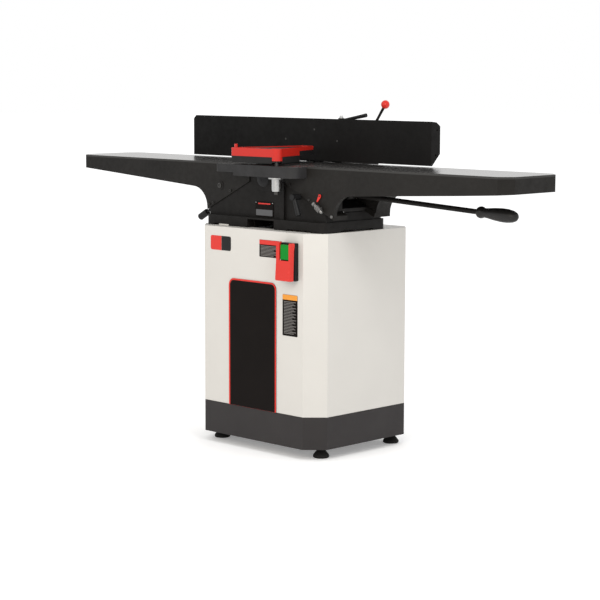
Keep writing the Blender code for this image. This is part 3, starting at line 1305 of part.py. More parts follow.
def make_fence_levers():
    ball_place = Vector((BALL_X, STUD_Y, BALL_Z))
    hub_place = Vector((LOCK_X, STUD_Y, LOCK_Z))
    along = (ball_place - hub_place).normalized()
    axis = make_empty("fence_lock_axis", tuple(hub_place), CARRIAGE)
    lever = rod("fence_lock_lever", hub_place + along * 0.004, ball_place - along * 0.004, 0.004, sides=16)
    hub = rod("fence_lock_hub", hub_place + Vector((0, -0.0085, 0)), hub_place + Vector((0, 0.0073, 0)),
              0.012, sides=24)
    join(lever, hub)
    place_part(lever, "black_casting", axis, smooth=35)

    steps = 10
    bore = 0.004 + GAP
    start = math.degrees(math.asin(bore / BALL_RADIUS))
    profile = []
    for i in range(steps + 1):
        angle = math.radians((180 - start) * i / steps)
        profile.append((BALL_RADIUS * math.sin(angle), BALL_RADIUS * math.cos(angle)))
    profile += [(bore, -0.0037), (0.0, -0.0037)]
    ball = turned("fence_lock_ball", profile, tuple(ball_place), tuple(along), sides=24)
    place_part(ball, "red_plastic", axis)

    stud = Vector((CARRIAGE_X, STUD_Y, 0.918 + GAP))
    axis = make_empty("fence_tilt_lock_axis", tuple(stud), CARRIAGE)
    grip_start = stud + Vector((0.004, 0.0, 0.0070))
    grip_end = stud + Vector((0.099, 0.0, 0.0240))
    tilt = rod("fence_tilt_lever", grip_start, grip_end, 0.0045, 0.0058, sides=16)
    hub = rod("tilt_hub", stud, stud + Vector((0, 0, 0.0135)), 0.0095, sides=24)
    join(tilt, hub)
    place_part(tilt, "black_plastic", axis, smooth=35)


# ---------------------------------------------------------------- switch

PADDLE_TOP = 0.604
PADDLE_GAP = 0.0058     # room behind the paddle for its travel
BUTTON_LEFT = 0.1225
BUTTON_RIGHT = 0.1540
BUTTON_LOW = 0.5575
BUTTON_HIGH = 0.5985


def make_switch():
    rear = CABINET_FRONT - GAP
    front = rear - SWITCH_BOX
    case = box("switch_box", (SWITCH_LEFT, front, SWITCH_BOTTOM), (SWITCH_RIGHT, rear, SWITCH_TOP))
    edges = case.modifiers.new("edges", "BEVEL")
    edges.width = 0.0025
    edges.segments = 2
    place_part(case, "black_plastic")

    hinge = Vector(((SWITCH_LEFT + SWITCH_RIGHT) / 2, front - 0.004, PADDLE_TOP - 0.006))
    axis = make_empty("stop_paddle_axis", tuple(hinge), MACHINE)
    outer = CABINET_FRONT - SWITCH_REACH
    left = SWITCH_LEFT + 0.001
    right = SWITCH_RIGHT + 0.001
    side = [(outer, 0.503), (outer + 0.002, 0.4995), (front - PADDLE_GAP, 0.4995), (front - 0.0035,
            PADDLE_TOP - 0.020),
            (front - 0.0012, PADDLE_TOP - 0.010), (front - 0.0012, PADDLE_TOP - 0.002), (front - 0.004,
                                                                                         PADDLE_TOP),
            (outer + 0.006, PADDLE_TOP), (outer + 0.0035, PADDLE_TOP - 0.004), (outer + 0.0035, 0.552)]
    paddle = prism("stop_paddle", side, left, right, CROSS)
    cut(paddle, box("paddle_inside", (left + 0.003, outer + 0.0065, 0.45),
        (right - 0.003, front + 0.02, 0.65)))
    cut(paddle, box("paddle_window", (BUTTON_LEFT - 0.0022, outer - 0.01, BUTTON_LOW - 0.0022),
                    (BUTTON_RIGHT + 0.0022, front + 0.01, 0.65)))
    place_part(paddle, "red_plastic", axis)

    axis = make_empty("start_button_axis", ((BUTTON_LEFT + BUTTON_RIGHT) / 2, front,
                      (BUTTON_LOW + BUTTON_HIGH) / 2),
                      MACHINE)
    travel = 0.004
    button = box("start_button", (BUTTON_LEFT, outer + 0.0055, BUTTON_LOW), (BUTTON_RIGHT,
                 front - GAP - travel, BUTTON_HIGH))
    edges = button.modifiers.new("edges", "BEVEL")
    edges.width = 0.0015
    edges.segments = 2
    place_part(button, "green_plastic", axis)


# ---------------------------------------------------------------- the whole machine

def build():
    make_cabinet_shell()
    make_cabinet_base()
    make_feet()
    make_rear_panel()
    make_front_panel()
    make_chute()
    make_dust_port()
    make_cable_gland()
    make_motor()
    make_motor_bracket()
    make_motor_pulley()
    make_head_pulley()
    make_belt()
    make_belt_guard()
    make_bed()
    make_nameplate()
    make_bearings()
    make_cutterhead()
    make_infeed_table()
    make_outfeed_table()
    make_gibs()
    make_ledge()
    make_lever()
    make_table_locks()
    make_depth_stop()
    make_guard_cover()
    make_guard_plate()
    make_guard_skirt()
    make_guard_post()
    make_fence()
    make_fence_base()
    make_carriage()
    make_fence_levers()
    make_switch()


build()
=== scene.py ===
"""Looks for the closed-stand jointer: materials, fittings, floor, light and camera."""

import math

import bmesh
import bpy
from mathutils import Matrix, Vector


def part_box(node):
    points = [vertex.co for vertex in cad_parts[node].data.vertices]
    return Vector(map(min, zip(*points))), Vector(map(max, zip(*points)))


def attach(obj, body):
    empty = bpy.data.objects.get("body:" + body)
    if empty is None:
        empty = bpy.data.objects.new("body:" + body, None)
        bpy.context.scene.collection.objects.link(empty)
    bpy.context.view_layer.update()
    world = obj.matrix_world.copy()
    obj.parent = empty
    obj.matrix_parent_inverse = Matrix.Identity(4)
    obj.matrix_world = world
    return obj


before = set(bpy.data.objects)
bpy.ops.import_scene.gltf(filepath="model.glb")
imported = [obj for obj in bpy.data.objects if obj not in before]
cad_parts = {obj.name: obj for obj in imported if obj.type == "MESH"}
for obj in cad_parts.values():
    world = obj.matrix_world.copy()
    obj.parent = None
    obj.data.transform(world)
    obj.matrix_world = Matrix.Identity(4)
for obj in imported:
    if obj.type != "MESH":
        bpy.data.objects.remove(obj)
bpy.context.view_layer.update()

# Places are given as in the CAD: from the tables' middle and front edge, moved by SHIFT in Y.
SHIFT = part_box("infeed_table")[0].y
TABLE_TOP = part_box("infeed_table")[1].z
CABINET_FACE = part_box("cabinet_shell")[0].y
CABINET_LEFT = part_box("cabinet_shell")[0].x
FENCE_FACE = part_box("fence")[0].y
FENCE_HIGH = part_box("fence")[1].z
LEDGE_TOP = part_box("rabbeting_ledge")[1].z


# ---------------------------------------------------------------- materials

class Shader:
    """A small builder for node materials in object coordinates, which are metres."""

    def __init__(self, name):
        self.material = bpy.data.materials.new(name)
        self.material.use_nodes = True
        self.tree = self.material.node_tree
        self.tree.nodes.clear()
        self.output = self.node("ShaderNodeOutputMaterial")
        self.surface = self.node("ShaderNodeBsdfPrincipled")
        self.coords = self.node("ShaderNodeTexCoord")
        self.link(self.surface.outputs[0], self.output.inputs["Surface"])

    def node(self, kind):
        return self.tree.nodes.new(kind)

    def link(self, out, into):
        self.tree.links.new(out, into)

    def noise(self, scale, detail=2.0, stretch=(1.0, 1.0, 1.0), roughness=0.5):
        mapping = self.node("ShaderNodeMapping")
        mapping.inputs["Scale"].default_value = stretch
        texture = self.node("ShaderNodeTexNoise")
        texture.inputs["Scale"].default_value = scale
        texture.inputs["Detail"].default_value = detail
        texture.inputs["Roughness"].default_value = roughness
        self.link(self.coords.outputs["Object"], mapping.inputs["Vector"])
        self.link(mapping.outputs[0], texture.inputs["Vector"])
        return texture.outputs["Fac"]

    def cells(self, scale):
        texture = self.node("ShaderNodeTexVoronoi")
        texture.inputs["Scale"].default_value = scale
        self.link(self.coords.outputs["Object"], texture.inputs["Vector"])
        return texture

    def spread(self, value, low, high, start=0.3, end=0.7):
        ranged = self.node("ShaderNodeMapRange")
        ranged.inputs["From Min"].default_value = start
        ranged.inputs["From Max"].default_value = end
        ranged.inputs["To Min"].default_value = low
        ranged.inputs["To Max"].default_value = high
        self.link(value, ranged.inputs["Value"])
        return ranged.outputs[0]

    def blend(self, factor, one, two):
        """Mixes two colours; each is a colour or another node's output."""
        mix = self.node("ShaderNodeMix")
        mix.data_type = "RGBA"
        self.link(factor, mix.inputs[0])
        for socket, colour in ((mix.inputs[6], one), (mix.inputs[7], two)):
            if isinstance(colour, tuple):
                socket.default_value = (*colour, 1.0)
            else:
                self.link(colour, socket)
        return mix.outputs[2]

    def blend_value(self, factor, one, two):
        mix = self.node("ShaderNodeMix")
        mix.data_type = "FLOAT"
        self.link(factor, mix.inputs[0])
        for socket, value in ((mix.inputs[2], one), (mix.inputs[3], two)):
            if isinstance(value, float):
                socket.default_value = value
            else:
                self.link(value, socket)
        return mix.outputs[0]

    def above(self, value, level, softness=0.0002):
        return self.spread(value, 0.0, 1.0, level - softness, level + softness)

    def times(self, one, two):
        math_node = self.node("ShaderNodeMath")
        math_node.operation = "MULTIPLY"
        self.link(one, math_node.inputs[0])
        self.link(two, math_node.inputs[1])
        return math_node.outputs[0]

    def part_of(self, output, axis):
        split = self.node("ShaderNodeSeparateXYZ")
        self.link(output, split.inputs[0])
        return split.outputs[axis]

    def bump(self, height, strength, distance):
        bump = self.node("ShaderNodeBump")
        bump.inputs["Strength"].default_value = strength
        bump.inputs["Distance"].default_value = distance
        self.link(height, bump.inputs["Height"])
        self.link(bump.outputs[0], self.surface.inputs["Normal"])

    def set(self, **values):
        for name, value in values.items():
            self.surface.inputs[name.replace("_", " ")].default_value = value


def shade(colour, factor):
    return tuple(min(channel * factor, 1.0) for channel in colour)


def coated(name, colour, vary=0.08, rough=0.4, rough_vary=0.06, grain=500, bump=0.15, depth=0.0002,
           metallic=0.0, specular=0.5, stretch=(1.0, 1.0, 1.0)):
    """Paint, plastic or metal with mottled colour, uneven gloss and a fine surface grain."""
    s = Shader(name)
    broad = s.noise(9.0, 4.0)
    fine = s.noise(grain, 2.0, stretch)
    mottled = s.blend(s.spread(broad, 0.0, 1.0), shade(colour, 1 - vary), shade(colour, 1 + vary))
    speckled = s.blend(s.spread(fine, 0.0, 0.35, 0.45, 0.75), mottled, shade(colour, 1 + 2.5 * vary))
    s.link(speckled, s.surface.inputs["Base Color"])
    s.link(s.spread(s.noise(35.0, 3.0), rough - rough_vary, rough + rough_vary),
           s.surface.inputs["Roughness"])
    s.bump(fine, bump, depth)
    s.set(Metallic=metallic, Specular_IOR_Level=specular)
    return s.material


def casting(name, colour, iron, top=None, specular=0.3, strip=None):
    """Painted casting. Faces that look up at the height called top are ground, in lines along X.

    Below the ground faces, a strip of that height is bare and darker.
    """
    s = Shader(name)
    broad = s.noise(7.0, 5.0)
    pits = s.noise(420.0, 3.0, roughness=0.65)
    body = s.blend(s.spread(broad, 0.0, 1.0), shade(colour, 0.75), shade(colour, 1.3))
    body = s.blend(s.spread(pits, 0.0, 0.6, 0.5, 0.8), body, shade(colour, 2.2))
    rough = s.spread(s.noise(60.0, 3.0), 0.48, 0.66)
    height = pits
    if top is not None:
        place = s.part_of(s.coords.outputs["Object"], 2)
        facing = s.part_of(s.coords.outputs["Normal"], 2)
        ground = s.times(s.above(place, top - 0.0006), s.above(facing, 0.9, 0.02))
        lines = s.noise(1.0, 4.0, (14.0, 1500.0, 40.0))
        metal = s.blend(s.spread(lines, 0.0, 1.0), shade(iron, 0.93), shade(iron, 1.07))
        if strip is not None:
            edge = s.above(place, top - strip)
            body = s.blend(edge, body, shade(iron, 0.14))
            rough = s.blend_value(edge, rough, 0.36)
        body = s.blend(ground, body, metal)
        rough = s.blend_value(ground, rough, s.spread(lines, 0.22, 0.25))
        s.link(ground, s.surface.inputs["Metallic"])
        height = s.blend_value(ground, pits, 0.5)
    s.link(body, s.surface.inputs["Base Color"])
    s.link(rough, s.surface.inputs["Roughness"])
    s.bump(height, 0.35, 0.0004)
    s.set(Specular_IOR_Level=specular)
    return s.material


def turned_steel(name, colour, rough=0.24, stretch=(900.0, 30.0, 30.0)):
    s = Shader(name)
    lines = s.noise(1.0, 3.0, stretch)
    tone = s.blend(s.spread(lines, 0.0, 1.0), shade(colour, 0.82), shade(colour, 1.12))
    s.link(tone, s.surface.inputs["Base Color"])
    s.link(s.spread(lines, rough - 0.06, rough + 0.08), s.surface.inputs["Roughness"])
    s.bump(lines, 0.12, 0.0002)
    s.set(Metallic=1.0)
    return s.material


def zinc(name):
    s = Shader(name)
    flakes = s.cells(90.0)
    tone = s.blend(s.part_of(flakes.outputs["Color"], 0), (0.36, 0.37, 0.38), (0.58, 0.59, 0.60))
    s.link(tone, s.surface.inputs["Base Color"])
    s.link(s.spread(s.part_of(flakes.outputs["Color"], 1), 0.28, 0.5, 0.0, 1.0),
           s.surface.inputs["Roughness"])
    s.bump(s.noise(300.0), 0.08, 0.0002)
    s.set(Metallic=0.9)
    return s.material


WHITE = coated("white_paint", (0.590, 0.572, 0.540), 0.012, 0.42, 0.05, 900, 0.10, 0.00015, specular=0.2)
CHARCOAL = coated("charcoal_paint", (0.030, 0.027, 0.027), 0.10, 0.5, 0.06, 800, 0.2, specular=0.16)
CASTING = casting("black_casting", (0.0080, 0.0072, 0.0066), (0.3, 0.3, 0.3), specular=0.13)
TABLE = casting("table_casting", (0.0100, 0.0090, 0.0080), (0.24, 0.232, 0.222), TABLE_TOP, 0.16, 0.0055)
LEDGE = casting("ledge_casting", (0.016, 0.0155, 0.0160), (0.24, 0.232, 0.222), LEDGE_TOP, 0.26)
FENCE = casting("fence_casting", (0.0050, 0.0047, 0.0045), (0.09, 0.09, 0.09), FENCE_HIGH, 0.10)
STEEL = turned_steel("bright_steel", (0.62, 0.62, 0.61))
ALONG = turned_steel("ground_steel", (0.55, 0.55, 0.54), 0.3, (30.0, 900.0, 900.0))
SPRING_CUP = turned_steel("spring_cup", (0.46, 0.46, 0.455), 0.32, (200.0, 200.0, 900.0))
BLACK = coated("black_plastic", (0.010, 0.010, 0.0105), 0.2, 0.42, 0.06, 1100, 0.18, specular=0.16)
FASTENER = coated("blacked_steel", (0.060, 0.058, 0.056), 0.15, 0.45, 0.06, 900, 0.12, metallic=0.8,
                  specular=0.2)
DULL_STEEL = coated("dull_steel", (0.20, 0.195, 0.19), 0.15, 0.42, 0.06, 900, 0.12, metallic=0.9)
MARKING = coated("pale_marking", (0.20, 0.19, 0.18), 0.05, 0.5, 0.05, 900, 0.05, specular=0.1)
PANEL = coated("panel_black", (0.0060, 0.0043, 0.0037), 0.12, 0.42, 0.06, 1300, 0.10, specular=0.05)
GRIP = coated("grip_rubber", (0.011, 0.0105, 0.0102), 0.2, 0.38, 0.06, 500, 0.25, 0.0003, specular=0.28)
RED = coated("red_plastic", (0.60, 0.030, 0.021), 0.03, 0.24, 0.05, 900, 0.10, specular=0.25)
GUARD_RED = coated("guard_red", (0.47, 0.019, 0.012), 0.03, 0.20, 0.04, 900, 0.06, specular=0.30)
GREEN = coated("green_plastic", (0.0, 0.21, 0.016), 0.05, 0.34, 0.05, 900, 0.12, specular=0.14)
RUBBER = coated("rubber", (0.013, 0.0125, 0.012), 0.15, 0.75, 0.08, 600, 0.3, 0.0003, specular=0.15)
SKIRT = coated("skirt_rubber", (0.014, 0.0135, 0.0135), 0.12, 0.6, 0.08, 700, 0.3, specular=0.15)
MOTOR = coated("motor_paint", (0.035, 0.04, 0.047), 0.1, 0.45, 0.06, 500, 0.2)
ZINC = zinc("zinc_sheet")
PLATE = coated("plate_face", (0.10, 0.10, 0.102), 0.08, 0.36, 0.06, 1500, 0.10, metallic=0.8,
               stretch=(1.0, 0.05, 1.0))
AMBER = coated("amber_band", (0.72, 0.27, 0.015), 0.04, 0.4, 0.05, 900, 0.08)


# ---------------------------------------------------------------- CAD nodes

def dress(names, material, bevel=0.0, smooth=40):
    """Gives CAD nodes a material, and rounds their edges or their shading with modifiers."""
    for name in names:
        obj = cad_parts[name]
        obj.data.materials.clear()
        obj.data.materials.append(material)
        custom = obj.data.attributes.get("custom_normal")
        if custom is not None:
            obj.data.attributes.remove(custom)
        for face in obj.data.polygons:
            face.use_smooth = True
        weld = obj.modifiers.new("weld", "WELD")
        weld.merge_threshold = 0.00001
        if bevel:
            edges = obj.modifiers.new("edges", "BEVEL")
            edges.width = bevel
            edges.segments = 2
            edges.limit_method = "ANGLE"
            edges.angle_limit = math.radians(smooth)
            edges.use_clamp_overlap = True
            flat = obj.modifiers.new("flat", "WEIGHTED_NORMAL")
            flat.weight = 100
        else:
            split = obj.modifiers.new("split", "EDGE_SPLIT")
            split.split_angle = math.radians(smooth)


dress(["cabinet_shell"], WHITE, 0.0012)
dress(["rear_access_panel"], WHITE)
dress(["cabinet_base"], CHARCOAL, 0.0010)
dress(["motor_bracket"], CHARCOAL)
dress(["bed_casting"], CASTING, 0.0012)
dress(["fence_base", "fence_carriage"], CASTING, 0.0010)
dress(["belt_guard", "front_bearing_housing", "rear_bearing_housing"], CASTING, 0.0006)
dress(["infeed_table", "outfeed_table"], TABLE, 0.0008)
dress(["rabbeting_ledge"], LEDGE, 0.0012)
dress(["fence"], FENCE, 0.0008)
dress(["cutterhead_body"], STEEL)
dress(["front_bearing", "rear_bearing"], FASTENER)
dress(["knife_1", "knife_2", "knife_3"], ALONG)
dress(["knife_gib_1", "knife_gib_2", "knife_gib_3"], ALONG)
dress(["infeed_gib", "outfeed_gib"], ALONG)
dress(["lever_pivot_pin", "fence_hinge_pin_left", "fence_hinge_pin_right"], STEEL)
dress(["guard_post"], FASTENER)
dress(["depth_stop_plunger", "depth_stop_bracket"], DULL_STEEL)
dress(["guard_spring_housing"], SPRING_CUP, 0.0005)
dress(["elevation_lever", "fence_lock_lever"], CASTING)
dress(["front_trim_panel"], PANEL)
dress(["dust_port", "cable_gland", "switch_box"], BLACK, 0.0004)
dress(["infeed_lock_handle", "outfeed_lock_knob", "fence_tilt_lever"], BLACK, 0.0006)
dress(["lever_grip"], GRIP)
dress(["guard_top_plate"], PANEL)
dress(["guard_cover"], GUARD_RED, 0.0009)
dress(["fence_lock_ball"], RED, smooth=60)
dress(["depth_pointer"], RED, 0.0003)
dress(["stop_paddle"], RED, 0.0007)
dress(["start_button"], GREEN, 0.0006)
dress(["foot_front_left", "foot_front_right", "foot_rear_left", "foot_rear_right"], RUBBER)
dress(["drive_belt"], RUBBER)
dress(["guard_skirt"], SKIRT)
dress(["motor_housing", "motor_terminal_box"], MOTOR)
dress(["chip_chute"], ZINC)
dress(["motor_pulley", "cutterhead_pulley"], ZINC)
dress(["nameplate"], PANEL, 0.0003)


# ---------------------------------------------------------------- fittings

def add_mesh(name, bm, material, body):
    bmesh.ops.recalc_face_normals(bm, faces=bm.faces)
    mesh = bpy.data.meshes.new(name)
    bm.to_mesh(mesh)
    bm.free()
    mesh.materials.append(material)
    mesh.shade_smooth()
    mesh.set_sharp_from_angle(angle=math.radians(35))
    obj = bpy.data.objects.new(name, mesh)
    bpy.context.scene.collection.objects.link(obj)
    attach(obj, body)
    return obj


def ring_of(bm, turn, height, radii):
    count = len(radii)
    verts = []
    for i, radius in enumerate(radii):
        angle = 2 * math.pi * i / count
        place = Vector((radius * math.cos(angle), radius * math.sin(angle), height))
        verts.append(bm.verts.new(turn @ place))
    return verts


def hexagonal(size, count):
    """Radii of a hexagon across flats of twice size, sampled round a circle."""
    radii = []
    for i in range(count):
        angle = (2 * math.pi * i / count) % (math.pi / 3) - math.pi / 6
        radii.append(size / math.cos(angle))
    return radii


def lathe(name, rings, place, axis, material, body, count=24):
    """A round piece: rings are (height, radius or list of radii), from the foot to the middle."""
    bm = bmesh.new()
    turn = Matrix.Translation(place) @ Vector(axis).to_track_quat("Z", "Y").to_matrix().to_4x4()
    loops = []
    for height, radius in rings:
        radii = radius if isinstance(radius, list) else [radius] * count
        loops.append(ring_of(bm, turn, height, radii))
    for low, high in zip(loops, loops[1:]):
        for i in range(count):
            j = (i + 1) % count
            bm.faces.new((low[i], low[j], high[j], high[i]))
    bm.faces.new(loops[0][::-1])
    bm.faces.new(loops[-1])
    return add_mesh(name, bm, material, body)


def socket_screw(name, place, axis, radius, height, material, body):
    """A cap screw with a hexagonal socket."""
    key = hexagonal(radius * 0.45, 24)
    rings = [(0.0, radius), (height * 0.82, radius), (height, radius * 0.88), (height, key),
             (height * 0.4, key)]
    return lathe(name, rings, place, axis, material, body)


def hex_bolt(name, place, axis, size, height, material, body):
    """A hexagon head on a washer."""
    flats = hexagonal(size, 24)
    small = [r * 0.93 for r in flats]
    rings = [(0.0, size * 1.45), (height * 0.25, size * 1.45), (height * 0.25, flats),
             (height * 0.9, flats), (height, small)]
    return lathe(name, rings, place, axis, material, body)


def domed_screw(name, place, axis, radius, height, material, body):
    """A domed screw with a round recess."""
    rings = [(0.0, radius), (height * 0.5, radius), (height * 0.85, radius * 0.8), (height, radius * 0.45),
             (height * 0.6, radius * 0.3)]
    return lathe(name, rings, place, axis, material, body, count=16)


def at(x, y, z):
    """A point given as in the CAD."""
    return Vector((x, y + SHIFT, z))


def plate(name, outline, face, thickness, material, body):
    """A thin plate with softened edges, on a face that looks to the front."""
    bm = bmesh.new()
    back = [bm.verts.new((x, face, z)) for x, z in outline]
    front = [bm.verts.new((x, face - thickness, z)) for x, z in outline]
    count = len(outline)
    for i in range(count):
        j = (i + 1) % count
        bm.faces.new((back[i], back[j], front[j], front[i]))
    bm.faces.new(back)
    bm.faces.new(front[::-1])
    obj = add_mesh(name, bm, material, body)
    edges = obj.modifiers.new("edges", "BEVEL")
    edges.width = thickness * 0.3
    edges.segments = 2
    edges.limit_method = "ANGLE"
    return obj


def rounded_rect(left, right, low, high, radii, steps=6):
    """Radii are for the lower left, lower right, upper right and upper left corners."""
    corners = ((left, low, 180), (right, low, 270), (right, high, 0), (left, high, 90))
    points = []
    for (x, z, start), radius in zip(corners, radii):
        if radius <= 0:
            points.append((x, z))
            continue
        cx = x + radius * (1 if x == left else -1)
        cz = z + radius * (1 if z == low else -1)
        for k in range(steps + 1):
            angle = math.radians(start + 90 * k / steps)
            points.append((cx + radius * math.cos(angle), cz + radius * math.sin(angle)))
    return points


def border(name, outer, inner, face, thickness, material, body):
    """A flat frame between two outlines with the same number of points."""
    bm = bmesh.new()
    loops = []
    for outline, y in ((outer, face), (outer, face - thickness), (inner, face - thickness), (inner, face)):
        loops.append([bm.verts.new((x, y, z)) for x, z in outline])
    count = len(outer)
    for k in range(4):
        one = loops[k]
        two = loops[(k + 1) % 4]
        for i in range(count):
            j = (i + 1) % count
            bm.faces.new((one[i], one[j], two[j], two[i]))
    return add_mesh(name, bm, material, body)


def wire(name, points, radius, material, body, resolution=3):
    curve = bpy.data.curves.new(name, "CURVE")
    curve.dimensions = "3D"
    curve.bevel_depth = radius
    curve.bevel_resolution = resolution
    curve.use_fill_caps = True
    spline = curve.splines.new("POLY")
    spline.points.add(len(points) - 1)
    for point, place in zip(spline.points, points):
        point.co = (*place, 1.0)
    curve.materials.append(material)
    obj = bpy.data.objects.new(name, curve)
    bpy.context.scene.collection.objects.link(obj)
    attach(obj, body)
    return obj


def coil(name, start, end, radius, turns, thickness, material, body):
    """A coil spring round the line from start to end."""
    along = end - start
    turn = along.to_track_quat("Z", "Y").to_matrix()
    steps = int(turns * 14)
    points = []
    for i in range(steps + 1):
        angle = 2 * math.pi * turns * i / steps
        local = Vector((radius * math.cos(angle), radius * math.sin(angle), along.length * i / steps))
        points.append(start + turn @ local)
    return wire(name, points, thickness, material, body, 2)


FRONT = (0.0, -1.0, 0.0)
REAR = (0.0, 1.0, 0.0)
LEFT = (-1.0, 0.0, 0.0)
UP = (0.0, 0.0, 1.0)
DOWN = (0.0, 0.0, -1.0)

LABEL = 0.0005            # thickness of a label
PRINT = 0.0003            # thickness of a printed band
BAR = 0.0008              # half the height of a bar that stands for a line of text
BAR_SHORT = (0.0, 0.18, 0.05, 0.3)    # how much shorter each of four bars is
HEAD_X = -0.024           # the cutterhead's axis, which the motor's lies under
HEAD_Z = 0.770
MOTOR_Z = 0.285
MOTOR_MIDDLE = 0.140      # middle of the motor's fins, in Y
STUD_Y = 0.350            # the tilt lock's stud behind the fence


def label(name, edges, corner, face, thickness, material):
    """A thin plate on the stand. Edges are its left, right, lower and upper ones."""
    plate(name, rounded_rect(*edges, (corner,) * 4), face, thickness, material, "stand")


def marking_rows(name, edges, count, face):
    """Rows of pale bars, which stand for a label's lines."""
    left, right, low, high = edges
    for number in range(count):
        z = high - (high - low) * (number + 0.5) / count
        end = right - (right - left) * BAR_SHORT[number % len(BAR_SHORT)]
        outline = rounded_rect(left, end, z - BAR, z + BAR, (BAR / 2,) * 4, 2)
        plate(f"{name}_{number}", outline, face, 0.0002, MARKING, "stand")


def panel_border():
    """The red line round the front panel, which is square at its lower corners."""
    low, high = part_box("front_trim_panel")
    width = 0.0048
    corner = 0.020
    outer = rounded_rect(low.x, high.x, low.z, high.z, (0.0004, 0.0004, corner, corner))
    inner = rounded_rect(low.x + width, high.x - width, low.z + 0.0001, high.z - width,
                         (0.0003, 0.0003, corner - width, corner - width))
    border("panel_border", outer, inner, low.y, PRINT, RED, "stand")


def badge():
    """Two blank plates side by side, with round outer corners."""
    low = 0.562
    high = 0.603
    corner = 0.006
    left = rounded_rect(-0.192, -0.1475, low, high, (corner, 0.0, 0.0, corner))
    right = rounded_rect(-0.1465, -0.108, low, high, (0.0, corner, corner, 0.0))
    plate("badge_left", left, CABINET_FACE, 0.0008, RED, "stand")
    plate("badge_right", right, CABINET_FACE, 0.0008, BLACK, "stand")


def labels():
    on_label = CABINET_FACE - LABEL
    label("switch_plate", (0.0085, 0.0975, 0.5555, 0.6035), 0.002, CABINET_FACE, LABEL, PANEL)
    label("switch_plate_band", (0.0090, 0.0970, 0.5905, 0.6030), 0.0015, on_label, PRINT, RED)
    label("side_plate", (0.1005, 0.1590, 0.343, 0.458), 0.003, CABINET_FACE, LABEL, PANEL)
    label("side_plate_band", (0.1010, 0.1585, 0.4435, 0.4575), 0.002, on_label, PRINT, AMBER)
    marking_rows("switch_plate_row", (0.0135, 0.0880, 0.5580, 0.5880), 8, on_label)
    marking_rows("side_plate_row", (0.1060, 0.1530, 0.3480, 0.4400), 22, on_label)


def rear_panel_screws():
    """Four screws down each side of the panel."""
    low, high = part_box("rear_access_panel")
    inset = 0.012
    for number in range(8):
        x = low.x + inset if number % 2 == 0 else high.x - inset
        z = low.z + inset + (high.z - low.z - 2 * inset) * (number // 2) / 3
        domed_screw(f"panel_screw_{number}", Vector((x, high.y, z)), REAR, 0.0045, 0.0022, STEEL,
                      "stand")


def port_screws():
    """Four screws round the dust port's flange."""
    low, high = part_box("dust_port")
    middle = (low + high) / 2
    face = CABINET_LEFT - 0.0025
    reach = 0.0578
    for number in range(4):
        angle = math.radians(45 + 90 * number)
        place = (face, middle.y + reach * math.cos(angle), middle.z + reach * math.sin(angle))
        domed_screw(f"port_screw_{number}", Vector(place), LEFT, 0.0036, 0.0018, STEEL, "stand")


def cabinet_details():
    panel_border()
    badge()
    labels()
    rear_panel_screws()
    port_screws()


def nameplate_details():
    """A blank plate with a red band, a plain field and two pins."""
    low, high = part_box("nameplate")
    face = low.y
    band = 0.0115
    field = 0.003
    pin = 0.003
    label("nameplate_band", (low.x + band, high.x - band, 0.6975, 0.7010), 0.0008, face, PRINT, RED)
    label("nameplate_field", (low.x + field, high.x - field, 0.6655, 0.6825), 0.001, face, PRINT,
          PLATE)
    for number, x in enumerate((low.x + pin, high.x - pin)):
        place = Vector((x, face, low.z + 0.040))
        domed_screw(f"nameplate_pin_{number}", place, FRONT, 0.0013, 0.0006, STEEL, "stand")


def bed_details():
    """Nameplate, flange bolts, a pale plate at the gap under the bed's flange that paints the lit cabinet
    top seen there, and the front bearing's cap. Nameplate, flange bolts, a small pale tab of unknown use
    and the front bearing's cap.
    """
    nameplate_details()
    for number, x in enumerate((-0.232, 0.205)):
        hex_bolt(f"bed_bolt_{number}", at(x, 0.218, 0.6592), UP, 0.0062, 0.007, FASTENER, "stand")
    # Painted light: a thin white plate on the flange's front stands in for the lit strip of cabinet top
    # seen through the gap.
    label("painted_lit_gap_patch", (-0.188, -0.150, 0.6300, 0.6342), 0.0005, SHIFT - 0.0125, 0.004, WHITE)
    rings = [(0.0, 0.0235), (0.0006, 0.0235), (0.0009, 0.0228), (0.0009, 0.0080), (0.0004, 0.0074)]
    lathe("front_bearing_cap", rings, at(HEAD_X, 0.0006, HEAD_Z), FRONT, BLACK, "stand", count=40)


def table_details():
    """Screws in the tables' front faces and under the ledge: the lists give x and z, or x."""
    socket_screw("outfeed_boss_screw", at(-0.1996, -0.0015, 0.743), FRONT, 0.0075, 0.0025, FASTENER,
                 "outfeed")
    outfeed = ((-0.1555, 0.730, 0.0040), (-0.2447, 0.687, 0.0032), (-0.2284, 0.692, 0.0032))
    for number, (x, z, radius) in enumerate(outfeed):
        socket_screw(f"outfeed_gib_screw_{number}", at(x, 0.0, z), FRONT, radius, 0.004, FASTENER,
                     "outfeed")
    for number, (x, z) in enumerate(((0.085, 0.7575), (0.160, 0.7190))):
        socket_screw(f"infeed_gib_screw_{number}", at(x, 0.0, z), FRONT, 0.0034, 0.004, FASTENER,
                     "infeed")
    socket_screw("infeed_end_screw", at(0.2455, 0.0, 0.6775), FRONT, 0.0040, 0.004, DULL_STEEL, "infeed")
    for number, x in enumerate((-0.02, 0.098)):
        socket_screw(f"ledge_screw_{number}", at(x, -0.012, 0.7778), DOWN, 0.0042, 0.0035, FASTENER,
                     "infeed")


def depth_stop_details():
    """The spring round the sloping plunger, and the pointer's screw."""
    start = at(0.190, -0.0105, 0.707)
    end = at(0.218, -0.0105, 0.6865)
    along = (end - start).normalized()
    coil("depth_stop_coil", start + along * 0.0088, start + along * 0.0252, 0.0077, 7, 0.0007,
         DULL_STEEL, "infeed")
    socket_screw("pointer_screw", at(0.2015, -0.0042, 0.7315), FRONT, 0.0021, 0.0012, FASTENER, "infeed")


